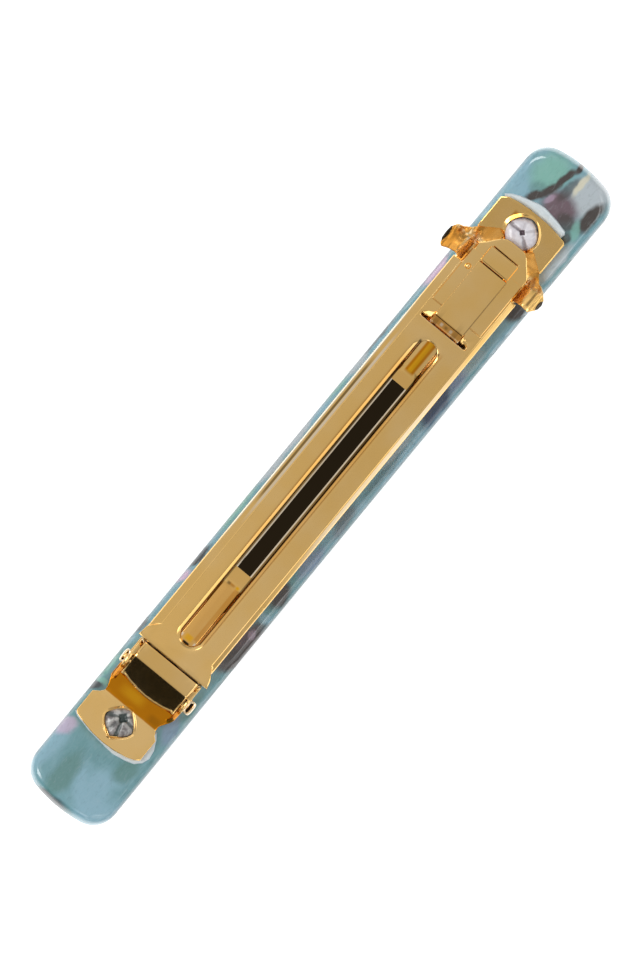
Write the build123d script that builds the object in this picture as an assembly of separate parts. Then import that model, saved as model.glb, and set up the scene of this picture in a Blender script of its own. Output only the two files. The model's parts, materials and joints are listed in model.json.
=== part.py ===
from build123d import *
import math
import os

# A hair barrette seen from its clip side: a curved acetate bar that carries a stamped, gold-plated
# spring clip. X runs along the bar towards the catch, Z points up, away from the bar's show face.
# Y = 0 is the clip's own middle line. The bar rests on its convex show face. Lengths in millimetres.

# Acetate bar
bar_length = 96.9
bar_width = 11.85
bar_thickness = 2.8
bar_front_radius = 121.0
bar_edge_round = 1.1
bar_corner_round = 3.2
bar_end_bulge = 1.15
bar_offset_y = -0.6

# Sheet metal and running room
sheet = 0.5
spring_sheet = 0.4
cement_bed = 0.3
contact_gap = 0.05
sliding_gap = 0.1
pin_gap = 0.05

# Base strip and its two end plates
clip_length = 80.0
clip_shift_x = 0.6
strip_width = 7.0
hinge_plate_width = 9.6
hinge_plate_length = 4.1
catch_plate_width = 9.4
catch_plate_length = 5.3
plate_corner = 0.8
plate_end_bulge = 0.75
notch_length = 0.9
hinge_hole_setback = 3.0
hinge_hole_reach = 2.45
hinge_hole_round = 0.9
catch_hole_setback = 2.85
catch_hole_reach = 2.76
catch_hole_round = 1.45
hole_rim_width = 0.4
hole_rim_height = 0.28

# Hinge
hinge_setback = 9.6
hinge_height = 3.2
pin_radius = 0.55
pin_reach = 4.75
bail_wall = 0.35
bail_gap = 0.5
bail_rise = 0.75
bail_corner = 0.25
cheek_half_span = 4.34
cheek_rear_reach = 4.7
cheek_front_reach = 2.6
cheek_crown = 1.4

# Lever
lever_arch_radius = 400.0
lever_plate_width = 7.74
heel_reach = 3.0
heel_rise = 1.3
flange_depth = 0.9
flange_spread = 0.95
bend_round = 0.4
flange_start = 2.5
flare_width = 10.3
flange_end_setback = 9.7
toe_setback = 7.6
toe_height = 3.0
nose_setback = 4.35
nose_width = 7.2
nose_tip_width = 2.6
nose_taper = 2.3
nose_tip_round = 0.5
tongue_step = 0.3
tongue_reach = 2.35
tongue_knee = 0.8
tongue_drop = 0.7
tongue_lip = 0.25
tongue_bow = 0.65
ear_radius = 1.3

# Long slot, cross window, rails and bridge of the lever
slot_start = 2.2
slot_length = 45.8
slot_width = 2.9
slot_lip = 0.35
slot_lip_depth = 0.5
window_setback = 17.9
window_length = 1.6
window_width = 6.4
rail_start_setback = 15.2
rail_width = 1.35
rail_height = 0.35
bridge_setback = 8.1
bridge_length = 1.9
bridge_sheet = 0.4

# Tension bar
spring_width = 2.4
spring_drop = 1.25
spring_root = 0.7
crease_start = 11.3
crease_end = 24.0
spring_bend = 0.6
strap_width = 4.28

# Catch arms
arm_length = 4.6
arm_flare_reach = 7.0
arm_wall_height = 3.0
arm_tip_rise = 3.9
arm_lip = 0.7
arm_waist = 0.4
arm_taper = 1.2
arm_shoulder_drop = 1.2
root_fold_run = 1.6
root_fold_y = 2.3
root_run = 1.7
root_rise = 1.2
dimple_radius = 0.4

# Cement beads and fixing plugs
bead_width = 0.8
bead_height = 0.7
hinge_bead_wrap = 3.4
catch_bead_wrap = 1.6
plug_clearance = 0.1
plug_lobe_radius = 0.85
plug_lobe_spread = 0.7

# Values that follow from the sizes above
bar_centre_z = bar_front_radius
bar_back_radius = bar_front_radius - bar_thickness
under_sheet_radius = bar_back_radius - cement_bed
floor_radius = under_sheet_radius - sheet
hinge_end_x = clip_shift_x - clip_length / 2
catch_end_x = clip_shift_x + clip_length / 2
hinge_x = hinge_end_x + hinge_setback
heel_x = hinge_x + heel_reach
toe_x = catch_end_x - toe_setback
nose_x = catch_end_x - nose_setback
flange_x = heel_x + flange_start
flange_end_x = catch_end_x - flange_end_setback
arm_end_x = catch_end_x - catch_plate_length
arm_start_x = arm_end_x - arm_length
arm_inner_y = lever_plate_width / 2 + sliding_gap
fold_x = arm_end_x + root_fold_run
hinge_hole_x = hinge_end_x + hinge_hole_setback
catch_hole_x = catch_end_x - catch_hole_setback
window_x = catch_end_x - window_setback
window_end_x = window_x + window_length
bridge_x = catch_end_x - bridge_setback
bridge_end_x = bridge_x + bridge_length


def circle_height(radius, x):
    """Height at x of a circle of this radius about the bar's centre line."""
    return bar_centre_z - math.sqrt(radius**2 - x**2)


def floor_at(x):
    """Height of the base sheet's top face at x."""
    return circle_height(floor_radius, x)


def arc_centre(start, end, radius):
    """Centre, above the chord, of the circle of this radius through two points of the XZ plane."""
    chord_x, chord_z = end[0] - start[0], end[1] - start[1]
    chord = math.hypot(chord_x, chord_z)
    rise = math.sqrt(radius**2 - (chord / 2) ** 2)
    middle_x, middle_z = (start[0] + end[0]) / 2, (start[1] + end[1]) / 2
    return middle_x - rise * chord_z / chord, middle_z + rise * chord_x / chord


hinge_z = floor_at(hinge_x) + hinge_height
heel_z = hinge_z + heel_rise
toe_z = floor_at(toe_x) + toe_height
arch_x, arch_z = arc_centre((heel_x, heel_z), (toe_x, toe_z), lever_arch_radius)


def lever_top_at(x):
    """Height of the lever plate's top face at x."""
    return arch_z - math.sqrt(lever_arch_radius**2 - (x - arch_x) ** 2)


def shell(centre_x, centre_z, outer, inner):
    """A sheet bent about a line along Y, between two radii, wider than the bar."""
    tube = Cylinder(outer, 3 * bar_width) - Cylinder(inner, 3 * bar_width)
    return Pos(centre_x, 0, centre_z) * Rot(90, 0, 0) * tube


def bar_shell(outer, inner):
    """A sheet that follows the bar's curve."""
    return shell(0, bar_centre_z, outer, inner)


def lever_shell(low, high):
    """A sheet that follows the lever's arch, from one height above its top face to another."""
    return shell(arch_x, arch_z, lever_arch_radius - low, lever_arch_radius - high)


def prism(sketch):
    """A plan outline as a column through the whole object."""
    return extrude(sketch, bar_front_radius / 2)


def outline(points):
    return make_face(Polyline(*points, close=True))


def block(x_low, x_high, y_low, y_high):
    return outline([(x_low, y_low), (x_high, y_low), (x_high, y_high), (x_low, y_high)])


def both_sides(points):
    """A closed outline from the points of its +Y side, mirrored."""
    return outline(points + [(x, -y) for x, y in reversed(points)])


def mirrored(part):
    """A part of the +Y side with its twin on the other side."""
    return part + mirror(part, Plane.XZ)


def above_strip(part):
    """What of a wall lies above the underside of the base sheet."""
    inside = Pos(0, 0, bar_centre_z) * Rot(90, 0, 0) * Cylinder(under_sheet_radius, 3 * bar_width)
    return part & inside


def side_plate(points, thickness):
    """A flat plate across Y, from its side outline as (x, z), from y = 0 inwards to +Y."""
    face = make_face(Polyline(*[(x, 0, z) for x, z in points], close=True))
    return extrude(face, thickness, dir=(0, 1, 0))


def is_rim(edge):
    """True for the edges that run round the show face and round the back of the bar."""
    radii = [math.hypot((edge @ t).X, (edge @ t).Z - bar_centre_z) for t in (0, 0.5, 1)]
    return max(radii) - min(radii) < bar_edge_round / 10


def make_bar():
    """The bar: a bent strip with gently bowed ends, cut square to the bend, and rounded edges."""
    half = bar_width / 2
    turn = math.degrees(math.asin(bar_length / 2 / (bar_front_radius - bar_edge_round)))
    spare = bar_corner_round + bar_end_bulge + bar_thickness
    room = Box(bar_length + 2 * spare, bar_width, bar_front_radius)
    body = bar_shell(bar_front_radius, bar_back_radius) & room
    end = Polyline((-2 * spare, half), (-2 * spare, -half), (-bar_end_bulge, -half))
    end += ThreePointArc((-bar_end_bulge, -half), (0, 0), (-bar_end_bulge, half))
    end += Line((-bar_end_bulge, half), (-2 * spare, half))
    face = make_face(end)
    face = fillet(face.vertices().sort_by(Axis.X)[-2:], bar_corner_round)
    kept = extrude(face, 3 * bar_thickness, both=True)
    beyond = Box(4 * spare, 2 * bar_width, 4 * bar_thickness) - kept
    beyond = Pos(0, 0, bar_centre_z) * Rot(0, -turn, 0) * Pos(0, 0, -bar_front_radius) * beyond
    body = body - beyond - mirror(beyond, Plane.YZ)
    return Pos(0, bar_offset_y, 0) * fillet(body.edges().filter_by(is_rim), bar_edge_round)


def plate_outline(end_x, length, width, side):
    """Plan of one end plate: bowed outer end with clipped corners. side is -1 or 1."""
    half = width / 2
    inner_x = end_x - side * length
    edge_x = end_x - side * plate_end_bulge
    clip_x = edge_x - side * plate_corner
    edge_y = half - plate_corner
    rim = Polyline((inner_x, -half), (inner_x, half), (clip_x, half), (edge_x, edge_y))
    rim += ThreePointArc((edge_x, edge_y), (end_x, 0), (edge_x, -edge_y))
    rim += Polyline((edge_x, -edge_y), (clip_x, -half), (inner_x, -half))
    return make_face(rim)


def diamond(x, reach, round_radius):
    """A square stood on its corner, with rounded corners."""
    face = outline([(x - reach, 0), (x, -reach), (x + reach, 0), (x, reach)])
    return fillet(face.vertices(), round_radius)


hinge_plate = plate_outline(hinge_end_x, hinge_plate_length, hinge_plate_width, -1)
catch_plate = plate_outline(catch_end_x, catch_plate_length, catch_plate_width, 1)
hinge_hole = diamond(hinge_hole_x, hinge_hole_reach, hinge_hole_round)
catch_hole = diamond(catch_hole_x, catch_hole_reach, catch_hole_round)


def make_strip():
    """The base sheet: two end plates and the strip between them, bent to the bar's curve."""
    half = strip_width / 2
    neck_x = hinge_end_x + hinge_plate_length
    neck_y = hinge_plate_width / 2 - notch_length
    wide = arm_inner_y + sheet
    left = both_sides(
        [
            (neck_x - sheet, neck_y),
            (neck_x, neck_y),
            (neck_x + notch_length, half),
            (hinge_x - cheek_front_reach, cheek_half_span),
            (hinge_x + cheek_front_reach, cheek_half_span),
            (hinge_x + cheek_rear_reach, half),
            (0, half),
        ]
    )
    right = both_sides(
        [
            (0, half),
            (arm_start_x - arm_length, half),
            (arm_start_x, wide),
            (arm_end_x, wide),
            (fold_x, root_fold_y),
            (catch_hole_x, root_fold_y),
        ]
    )
    plan = hinge_plate + left + right + catch_plate
    body = bar_shell(under_sheet_radius, floor_radius) & prism(plan)
    for hole in (hinge_hole, catch_hole):
        ring = offset(hole, hole_rim_width) - hole
        body += bar_shell(under_sheet_radius, floor_radius - hole_rim_height) & prism(ring)
        body -= prism(hole)
    return body


def make_cheek():
    """One side wall of the hinge, with the hole that the lever's pin turns in."""
    low = -hinge_height - sheet - cheek_front_reach
    wall = side_plate(
        [
            (-cheek_rear_reach, low),
            (-cheek_rear_reach, -hinge_height / 2),
            (-cheek_front_reach, 0),
            (-cheek_crown / 2, cheek_crown),
            (cheek_crown / 2, cheek_crown),
            (cheek_front_reach, cheek_crown / 4),
            (cheek_front_reach, low),
        ],
        sheet,
    )
    wall -= Rot(90, 0, 0) * Cylinder(pin_radius + pin_gap, 4 * sheet)
    return above_strip(Pos(hinge_x, cheek_half_span - sheet, hinge_z) * wall)


def make_bail():
    """The loop pressed out of the cheek round the end of the pin, open above and below."""
    inner = pin_radius + pin_gap
    outer = inner + bail_wall
    depth = bail_gap + bail_wall
    plan = block(-outer, outer, 0, depth)
    plan = fillet(plan.vertices().group_by(Axis.Y)[-1], bail_corner)
    plan -= block(-inner, inner, 0, bail_gap)
    loop = extrude(plan, bail_rise, both=True)
    return Pos(hinge_x, cheek_half_span, hinge_z) * loop


def make_arm():
    """One catch arm: up beside the lever's nose, flared out for a finger, trimmed to a tongue."""
    base_z = floor_at(arm_end_x)
    wall_y = arm_inner_y + sheet / 2
    path = FilletPolyline(
        (wall_y, floor_at(arm_start_x) - sheet / 2),
        (wall_y, base_z + arm_wall_height),
        (arm_flare_reach - arm_lip, base_z + arm_tip_rise),
        (arm_flare_reach, base_z + arm_tip_rise - arm_lip),
        radius=arm_lip / 2,
    )
    section = Plane.YZ.offset(arm_start_x) * trace(path, sheet)
    wide = arm_inner_y + sheet
    tip = arm_flare_reach + sheet
    shoulder = tip - arm_shoulder_drop
    far_x = arm_end_x - arm_taper
    crown = ((arm_start_x + far_x) / 2, tip)
    rim = ThreePointArc((arm_start_x, shoulder), crown, (far_x, shoulder))
    rim += Polyline(
        (far_x, shoulder),
        (arm_end_x - arm_waist, wide),
        (arm_end_x, wide),
        (arm_end_x, 0),
        (arm_start_x + arm_waist, 0),
        (arm_start_x + arm_waist, wide),
        (arm_start_x, shoulder - sheet),
        (arm_start_x, shoulder),
    )
    return above_strip(extrude(section, arm_length) & prism(make_face(rim)))


def make_root():
    """The ramp that the plate's diagonal fold turns up into, below the tip of the nose."""
    inner = Vector(fold_x, root_fold_y, floor_at(fold_x) - sheet / 2)
    outer = Vector(arm_end_x, catch_plate_width / 2, floor_at(arm_end_x) - sheet / 2)
    fold = outer - inner
    run = Vector(-fold.Y, fold.X, 0).normalized() * root_run + Vector(0, 0, root_rise)
    face = make_face(Polyline(inner, outer, outer + run, inner + run, close=True))
    return extrude(face, sheet / 2, both=True)


def make_catch_dimple():
    """The pressed dimple of an arm, which reaches in over the side of the lever's nose."""
    x = nose_x - nose_taper
    y = nose_width / 2 + pin_gap + dimple_radius
    return Pos(x, y, lever_top_at(x) + dimple_radius) * Sphere(dimple_radius)


def make_clip_base():
    """Base sheet with hinge cheeks, catch arms, ramps and dimples: one stamping."""
    walls = make_cheek() + make_bail() + make_arm() + make_root() + make_catch_dimple()
    return make_strip() + mirrored(walls)


def lever_channel():
    """The lever's plate with its flanges turned down and splayed, bent to the lever's arch."""
    half = lever_plate_width / 2
    foot = half + flange_spread
    top = arch_z - lever_arch_radius
    low = top - flange_depth
    across = sheet * math.hypot(flange_spread, flange_depth) / flange_depth
    shift = sheet * flange_spread / flange_depth
    side = [(half, top), (foot, low), (foot - across, low), (half + shift - across, top - sheet)]
    ring = [(arch_x, y, z) for y, z in side] + [(arch_x, -y, z) for y, z in reversed(side)]
    face = make_face(Polyline(*ring, close=True))
    face = fillet(face.vertices().sort_by(Axis.Z)[-2:], bend_round)
    axis = Axis((arch_x, 0, arch_z), (0, 1, 0))
    swing = math.degrees(math.asin(clip_length / 2 / lever_arch_radius))
    return revolve(face.rotate(axis, swing), axis, -2 * swing)


def make_lever_sheet():
    """Flanged channel, flared heel and tapered nose as one bent sheet."""
    half = lever_plate_width / 2
    flare = flare_width / 2
    fold_start_x = flange_x - flare + half
    channel_plan = both_sides([(flange_x, 0), (flange_x, half), (fold_start_x, flare), (flange_end_x, flare)])
    shoulder_x = toe_x - sliding_gap
    plan = both_sides(
        [
            (heel_x, flare),
            (fold_start_x, flare),
            (flange_x, half),
            (shoulder_x, half),
            (shoulder_x, nose_width / 2),
            (nose_x - nose_taper, nose_width / 2),
            (nose_x - nose_tip_round, nose_tip_width / 2 + nose_tip_round),
            (nose_x, nose_tip_width / 2),
        ]
    )
    return (lever_channel() & prism(channel_plan)) + (lever_shell(-sheet, 0) & prism(plan))


def make_slot_tools():
    """The long slot and the turned-down lips along its sides, in plan."""
    middle_x = heel_x + slot_start + slot_length / 2
    slot = Pos(middle_x, 0) * SlotOverall(slot_length, slot_width)
    straight = slot_length / 2 - slot_width
    edge_y = slot_width / 2
    lip = block(middle_x - straight, middle_x + straight, edge_y, edge_y + slot_lip)
    return slot, lip + mirror(lip, Plane.XZ)


def make_rail():
    """The raised rail beside the strap on the +Y side."""
    outer = lever_plate_width / 2 - sliding_gap
    plan = block(catch_end_x - rail_start_setback, toe_x - sliding_gap, outer - rail_width, outer)
    return lever_shell(-sheet / 2, rail_height) & prism(plan)


def make_bridge():
    """The lanced bridge that holds down the tension bar's strap."""
    inner = strap_width / 2 + sliding_gap
    outer = inner + bridge_sheet
    low = contact_gap + spring_sheet + sliding_gap
    deck = lever_shell(low, low + bridge_sheet) & prism(block(bridge_x, bridge_end_x, -outer, outer))
    leg = lever_shell(-sheet / 2, low + bridge_sheet) & prism(block(bridge_x, bridge_end_x, inner, outer))
    return deck + mirrored(leg)


def make_tongue():
    """The lever's tail, stepped down behind the heel and bent down over the hinge line."""
    half = cheek_half_span - sheet - sliding_gap
    top = heel_rise - tongue_step
    low = top - sheet
    front = heel_reach + sheet
    profile = [
        (front, top),
        (tongue_knee, top + sheet / 4),
        (-tongue_reach + tongue_lip, sheet - tongue_drop),
        (-tongue_reach, -tongue_drop),
        (-tongue_reach + 2 * tongue_lip, -tongue_drop),
        (tongue_knee - sheet / 4, low + sheet / 8),
        (front, low),
    ]
    tail = side_plate(profile, 2 * half)
    bowed = ThreePointArc(
        (tongue_bow - tongue_reach, 0), (-tongue_reach, half), (tongue_bow - tongue_reach, 2 * half)
    )
    bowed += Polyline(
        (tongue_bow - tongue_reach, 2 * half), (front, 2 * half), (front, 0), (tongue_bow - tongue_reach, 0)
    )
    column = extrude(make_face(bowed), bar_width, both=True)
    return Pos(hinge_x, -half, hinge_z) * (tail & column)


def make_ear():
    """The lever's own side wall in the hinge, with the pin that turns in the cheek."""
    outer_y = cheek_half_span - sheet - sliding_gap
    inner_y = outer_y - sheet
    disc = Rot(90, 0, 0) * Cylinder(ear_radius, sheet)
    web = side_plate(
        [
            (-ear_radius, 0),
            (-ear_radius, sheet / 4),
            (tongue_knee, heel_rise - tongue_step),
            (heel_reach + sheet, heel_rise - tongue_step - sheet / 2),
            (heel_reach + sheet, 0),
            (ear_radius, -sheet),
        ],
        sheet,
    )
    pin = Rot(90, 0, 0) * Cylinder(pin_radius, pin_reach - inner_y)
    pin = chamfer(pin.edges().sort_by(Axis.Y)[-1], pin_radius / 4)
    part = Pos(0, inner_y + sheet / 2, 0) * disc + Pos(0, inner_y, 0) * web
    part += Pos(0, (inner_y + pin_reach) / 2, 0) * pin
    return Pos(hinge_x, 0, hinge_z) * part


def make_lever():
    """The hinged upper arm of the clip: one stamping with its slot, window, rails and bridge."""
    slot, lip = make_slot_tools()
    body = make_lever_sheet() + (lever_shell(-sheet - slot_lip_depth, -sheet / 4) & prism(lip))
    body -= prism(slot)
    body -= prism(block(window_x, window_end_x, -window_width / 2, window_width / 2))
    return body + mirrored(make_rail() + make_ear()) + make_bridge() + make_tongue()


def make_tension_bar():
    """The spring bar: held under the heel, dropped and flat in the slot, up through the window."""
    half_sheet = spring_sheet / 2
    under = -sheet - sliding_gap - half_sheet
    over = contact_gap + half_sheet
    root_x = heel_x + spring_root
    start_x = hinge_x + heel_reach + crease_start
    end_x = catch_end_x - crease_end
    strap_tip = bridge_end_x + sliding_gap
    rise_x = window_x + sliding_gap
    climb = over - under
    stations = [
        (root_x, under),
        (heel_x + slot_start, under),
        (start_x, -spring_drop - half_sheet),
        (end_x, -spring_drop - half_sheet),
        (rise_x - spring_bend, under),
        (rise_x, under),
        (rise_x + climb, over),
        (strap_tip, over),
    ]
    points = [(x, lever_top_at(x) + height) for x, height in stations]
    line = FilletPolyline(*points, radius=spring_bend / 2)
    strip = Plane.XZ * trace(line, spring_sheet)
    narrow = extrude(strip, spring_width / 2, both=True)
    wide = extrude(strip, strap_width / 2, both=True)
    return narrow + (wide & prism(block(rise_x, catch_end_x, -strap_width, strap_width)))


def make_plug(hole_x, hole_reach, hole_round):
    """The plug that fills a fixing hole, with its head pressed into four lobes."""
    column = bar_shell(bar_back_radius - contact_gap, floor_radius) & prism(
        diamond(hole_x, hole_reach - plug_clearance, hole_round)
    )
    size = 2 * plug_lobe_radius
    lobe = Sphere(plug_lobe_radius) & Pos(0, 0, plug_lobe_radius) * Box(size, size, size)
    body = column
    for turn in (45, 135, 225, 315):
        place = Pos(hole_x, 0, floor_at(hole_x) - sheet / 2) * Rot(0, 0, turn)
        body += place * Pos(plug_lobe_spread, 0, 0) * lobe
    return body


def make_cement(plate, hole, side, wrap):
    """The cement under one end plate, squeezed out as a bead round the plate's outer end."""
    spread = Pos(0, bar_offset_y / 2) * offset(plate, bead_width)
    end_x = hinge_end_x if side < 0 else catch_end_x
    low_x, high_x = sorted((end_x - side * wrap, end_x + side * 2 * bead_width))
    reach = block(low_x, high_x, -bar_width, bar_width)
    bead_plan = (spread - offset(plate, contact_gap)) & reach
    bed = bar_shell(bar_back_radius - contact_gap, under_sheet_radius + contact_gap)
    bead = bar_shell(bar_back_radius - contact_gap, bar_back_radius - bead_height)
    bed_plan = (spread & reach) - offset(hole, contact_gap)
    return (bed & prism(bed_plan)) + (bead & prism(bead_plan))


def write(name, part):
    """One piece as one file, named after it."""
    export_step(part, f"parts/{name}.step")
    solids = part.solids()
    print(name, len(solids), round(sum(s.volume for s in solids), 2), part.bounding_box())


os.makedirs("parts", exist_ok=True)
write("acetate_bar", make_bar())
write("clip_base", make_clip_base())
write("lever", make_lever())
write("tension_bar", make_tension_bar())
write("plug_hinge_end", make_plug(hinge_hole_x, hinge_hole_reach, hinge_hole_round))
write("plug_catch_end", make_plug(catch_hole_x, catch_hole_reach, catch_hole_round))
write("cement_hinge_end", make_cement(hinge_plate, hinge_hole, -1, hinge_bead_wrap))
write("cement_catch_end", make_cement(catch_plate, catch_hole, 1, catch_bead_wrap))
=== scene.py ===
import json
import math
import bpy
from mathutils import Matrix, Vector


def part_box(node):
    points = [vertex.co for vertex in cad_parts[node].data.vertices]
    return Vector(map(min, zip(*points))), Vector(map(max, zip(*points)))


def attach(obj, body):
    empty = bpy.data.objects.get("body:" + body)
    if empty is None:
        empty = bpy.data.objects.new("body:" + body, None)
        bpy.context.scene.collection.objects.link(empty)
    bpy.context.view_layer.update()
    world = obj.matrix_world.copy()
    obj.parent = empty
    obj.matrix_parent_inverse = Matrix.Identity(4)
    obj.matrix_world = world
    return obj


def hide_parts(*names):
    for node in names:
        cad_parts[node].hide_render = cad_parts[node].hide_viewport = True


bl_info = {
    "name": "Hair barrette",
    "version": (1, 0, 0),
    "blender": (4, 5, 0),
    "location": "3D View > Sidebar > Barrette",
    "description": "Dresses the packed hair barrette in plated metal and marbled acetate",
    "category": "Object",
}

import bmesh
import bpy
from mathutils import Matrix, Vector

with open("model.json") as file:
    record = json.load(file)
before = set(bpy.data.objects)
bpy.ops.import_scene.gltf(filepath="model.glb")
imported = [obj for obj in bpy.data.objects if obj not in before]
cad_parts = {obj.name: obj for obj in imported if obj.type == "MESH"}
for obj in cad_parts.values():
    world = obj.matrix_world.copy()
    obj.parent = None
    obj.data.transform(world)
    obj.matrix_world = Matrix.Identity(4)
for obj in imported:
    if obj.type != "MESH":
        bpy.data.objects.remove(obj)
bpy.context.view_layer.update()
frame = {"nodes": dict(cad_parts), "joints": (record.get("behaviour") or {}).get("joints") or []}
MM = 0.001

# Forms of the clip, in millimetres. Most places along it start from the hinge's axis or an end of the base.

HINGE_X, _, HINGE_Z = (value / MM for value in frame["joints"][0]["pos_m"])
BASE_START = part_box("clip_base")[0][0] / MM
BASE_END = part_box("clip_base")[1][0] / MM
BAR_MIDDLE_Y = (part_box("acetate_bar")[0][1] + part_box("acetate_bar")[1][1]) / 2 / MM
BAR_HALF = (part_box("acetate_bar")[1][1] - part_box("acetate_bar")[0][1]) / 2 / MM
BEND_CENTRE_Z = 121.0
BAR_BACK_RADIUS = 118.2
SHEET_RADIUS = 117.4
ARCH_RADIUS = 400.0
HEEL_X = HINGE_X + 3.0
HEEL_RISE = 1.3
TOE_X = BASE_END - 7.6
TOE_RISE = 3.0
FLANGE_END_X = BASE_END - 9.75
NOSE_X = BASE_END - 4.3
SLOT_START_X = HEEL_X + 2.5
SLOT_END_X = 21.25
SLOT_HALF = 1.33
WINDOW_X = 22.95
CLIMB_END_X = 24.3
RAIL_START_X = 25.35
BRIDGE_X = 32.42
BRIDGE_END_X = 34.38
ARM_FOOT_X = 35.3


# Shader nodes written as plain expressions

class Signal:
    """A number on a socket. Python's operators add the Math nodes that work it out."""

    def __init__(self, paint, socket):
        self.paint = paint
        self.socket = socket

    def maths(self, operation, *terms):
        node = self.paint.node("ShaderNodeMath", {"operation": operation}, dict(enumerate(terms)))
        return Signal(self.paint, node.outputs[0])

    def __add__(self, other):
        return self.maths("ADD", self, other)

    def __sub__(self, other):
        return self.maths("SUBTRACT", self, other)

    def __rsub__(self, other):
        return self.maths("SUBTRACT", other, self)

    def __mul__(self, other):
        return self.maths("MULTIPLY", self, other)

    def __truediv__(self, other):
        return self.maths("DIVIDE", self, other)

    def __rtruediv__(self, other):
        return self.maths("DIVIDE", other, self)

    def __pow__(self, other):
        return self.maths("POWER", self, other)

    def __neg__(self):
        return self.maths("MULTIPLY", self, -1.0)

    def __abs__(self):
        return self.maths("ABSOLUTE", self)

    def between(self, low, high):
        """0 below low, 1 above high, and a soft step between them."""
        settings = {"interpolation_type": "SMOOTHSTEP"}
        node = self.paint.node("ShaderNodeMapRange", settings, {0: self, 1: low, 2: high, 3: 0.0, 4: 1.0})
        return Signal(self.paint, node.outputs[0])

    def inside(self, low, high, soft):
        """1 between low and high, with soft edges just outside them."""
        return self.between(low - soft, low) * (1 - self.between(high, high + soft))

    __radd__ = __add__
    __rmul__ = __mul__


class Paint:
    """The node tree of one material or of the world."""

    def __init__(self, owner):
        owner.use_nodes = True
        self.tree = owner.node_tree
        self.tree.nodes.clear()

    def node(self, kind, settings=None, inputs=None):
        """A node of this kind, with its settings made first and then its sockets filled or linked."""
        node = self.tree.nodes.new(kind)
        for name, value in (settings or {}).items():
            setattr(node, name, value)
        for name, value in (inputs or {}).items():
            value = getattr(value, "socket", value)
            if isinstance(value, bpy.types.NodeSocket):
                self.tree.links.new(value, node.inputs[name])
            else:
                node.inputs[name].default_value = value
        return node

    def place(self, centre=(0, 0, 0), turn=(0, 0, 0), scale=(1, 1, 1), vector=None):
        """Object coordinates, or a given vector, moved, turned and scaled for one pattern."""
        coordinate = vector or self.node("ShaderNodeTexCoord").outputs["Object"]
        inputs = {"Vector": coordinate, "Location": centre, "Rotation": turn, "Scale": scale}
        return self.node("ShaderNodeMapping", {"vector_type": "TEXTURE"}, inputs).outputs[0]

    def axes(self, vector):
        """The three parts of a vector."""
        parts = self.node("ShaderNodeSeparateXYZ", None, {0: vector}).outputs
        return [Signal(self, part) for part in parts]

    def vector(self, operation, *terms):
        return self.node("ShaderNodeVectorMath", {"operation": operation}, dict(enumerate(terms)))

    def noise(self, vector, scale, detail=2.0, roughness=0.5, distortion=0.0):
        inputs = {
            "Vector": vector, "Scale": scale, "Detail": detail,
            "Roughness": roughness, "Distortion": distortion,
        }
        return Signal(self, self.node("ShaderNodeTexNoise", None, inputs).outputs[0])

    def mix(self, factor, low, high):
        """Two colours, mixed by a factor. They are the node's sockets 6 and 7."""
        inputs = {"Factor": factor, 6: opaque(low), 7: opaque(high)}
        return self.node("ShaderNodeMix", {"data_type": "RGBA"}, inputs).outputs[2]

    def bump(self, height, strength, distance):
        inputs = {"Height": height, "Strength": strength, "Distance": distance}
        return self.node("ShaderNodeBump", None, inputs).outputs[0]

    def surface(self, inputs):
        """Ends the tree in a Principled surface."""
        shader = self.node("ShaderNodeBsdfPrincipled", None, inputs)
        self.node("ShaderNodeOutputMaterial", None, {"Surface": shader.outputs[0]})


def opaque(colour):
    """A plain colour with its alpha. The output of another node stays as it is."""
    return colour if isinstance(colour, bpy.types.NodeSocket) else (*colour, 1.0)


def new_material(name):
    """A material and its node tree."""
    material = bpy.data.materials.new(name)
    return material, Paint(material)


# Sizes and colours that a user would change

# Rows of the picture, and the millimetres that one of them covers at the clip
PICTURE_ROWS = 969
MM_PER_ROW = 0.1173


class BarretteCamera(bpy.types.PropertyGroup):
    roll: bpy.props.FloatProperty(
        name="Roll", description="How far the bar leans up to the right in the picture",
        default=math.radians(50.4875), subtype="ANGLE",
    )
    tilt: bpy.props.FloatProperty(
        name="Tilt", description="How far the camera leans towards the +Y side of the clip",
        default=math.radians(0.7), subtype="ANGLE",
    )
    distance: bpy.props.FloatProperty(
        name="Distance", description="From the clip to the camera", default=0.9, unit="LENGTH",
    )
    height: bpy.props.FloatProperty(
        name="Picture height", description="Height of the picture at the clip",
        default=PICTURE_ROWS * MM_PER_ROW * MM, unit="LENGTH",
    )
    target: bpy.props.FloatVectorProperty(
        name="Target", description="What the middle of the picture looks at",
        default=(-0.265 * MM, 0.02 * MM, 9 * MM), subtype="TRANSLATION",
    )


def colour_choice(name, description, default):
    """A colour that a user can change."""
    return bpy.props.FloatVectorProperty(
        name=name, description=description, default=default, subtype="COLOR",
    )


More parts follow.
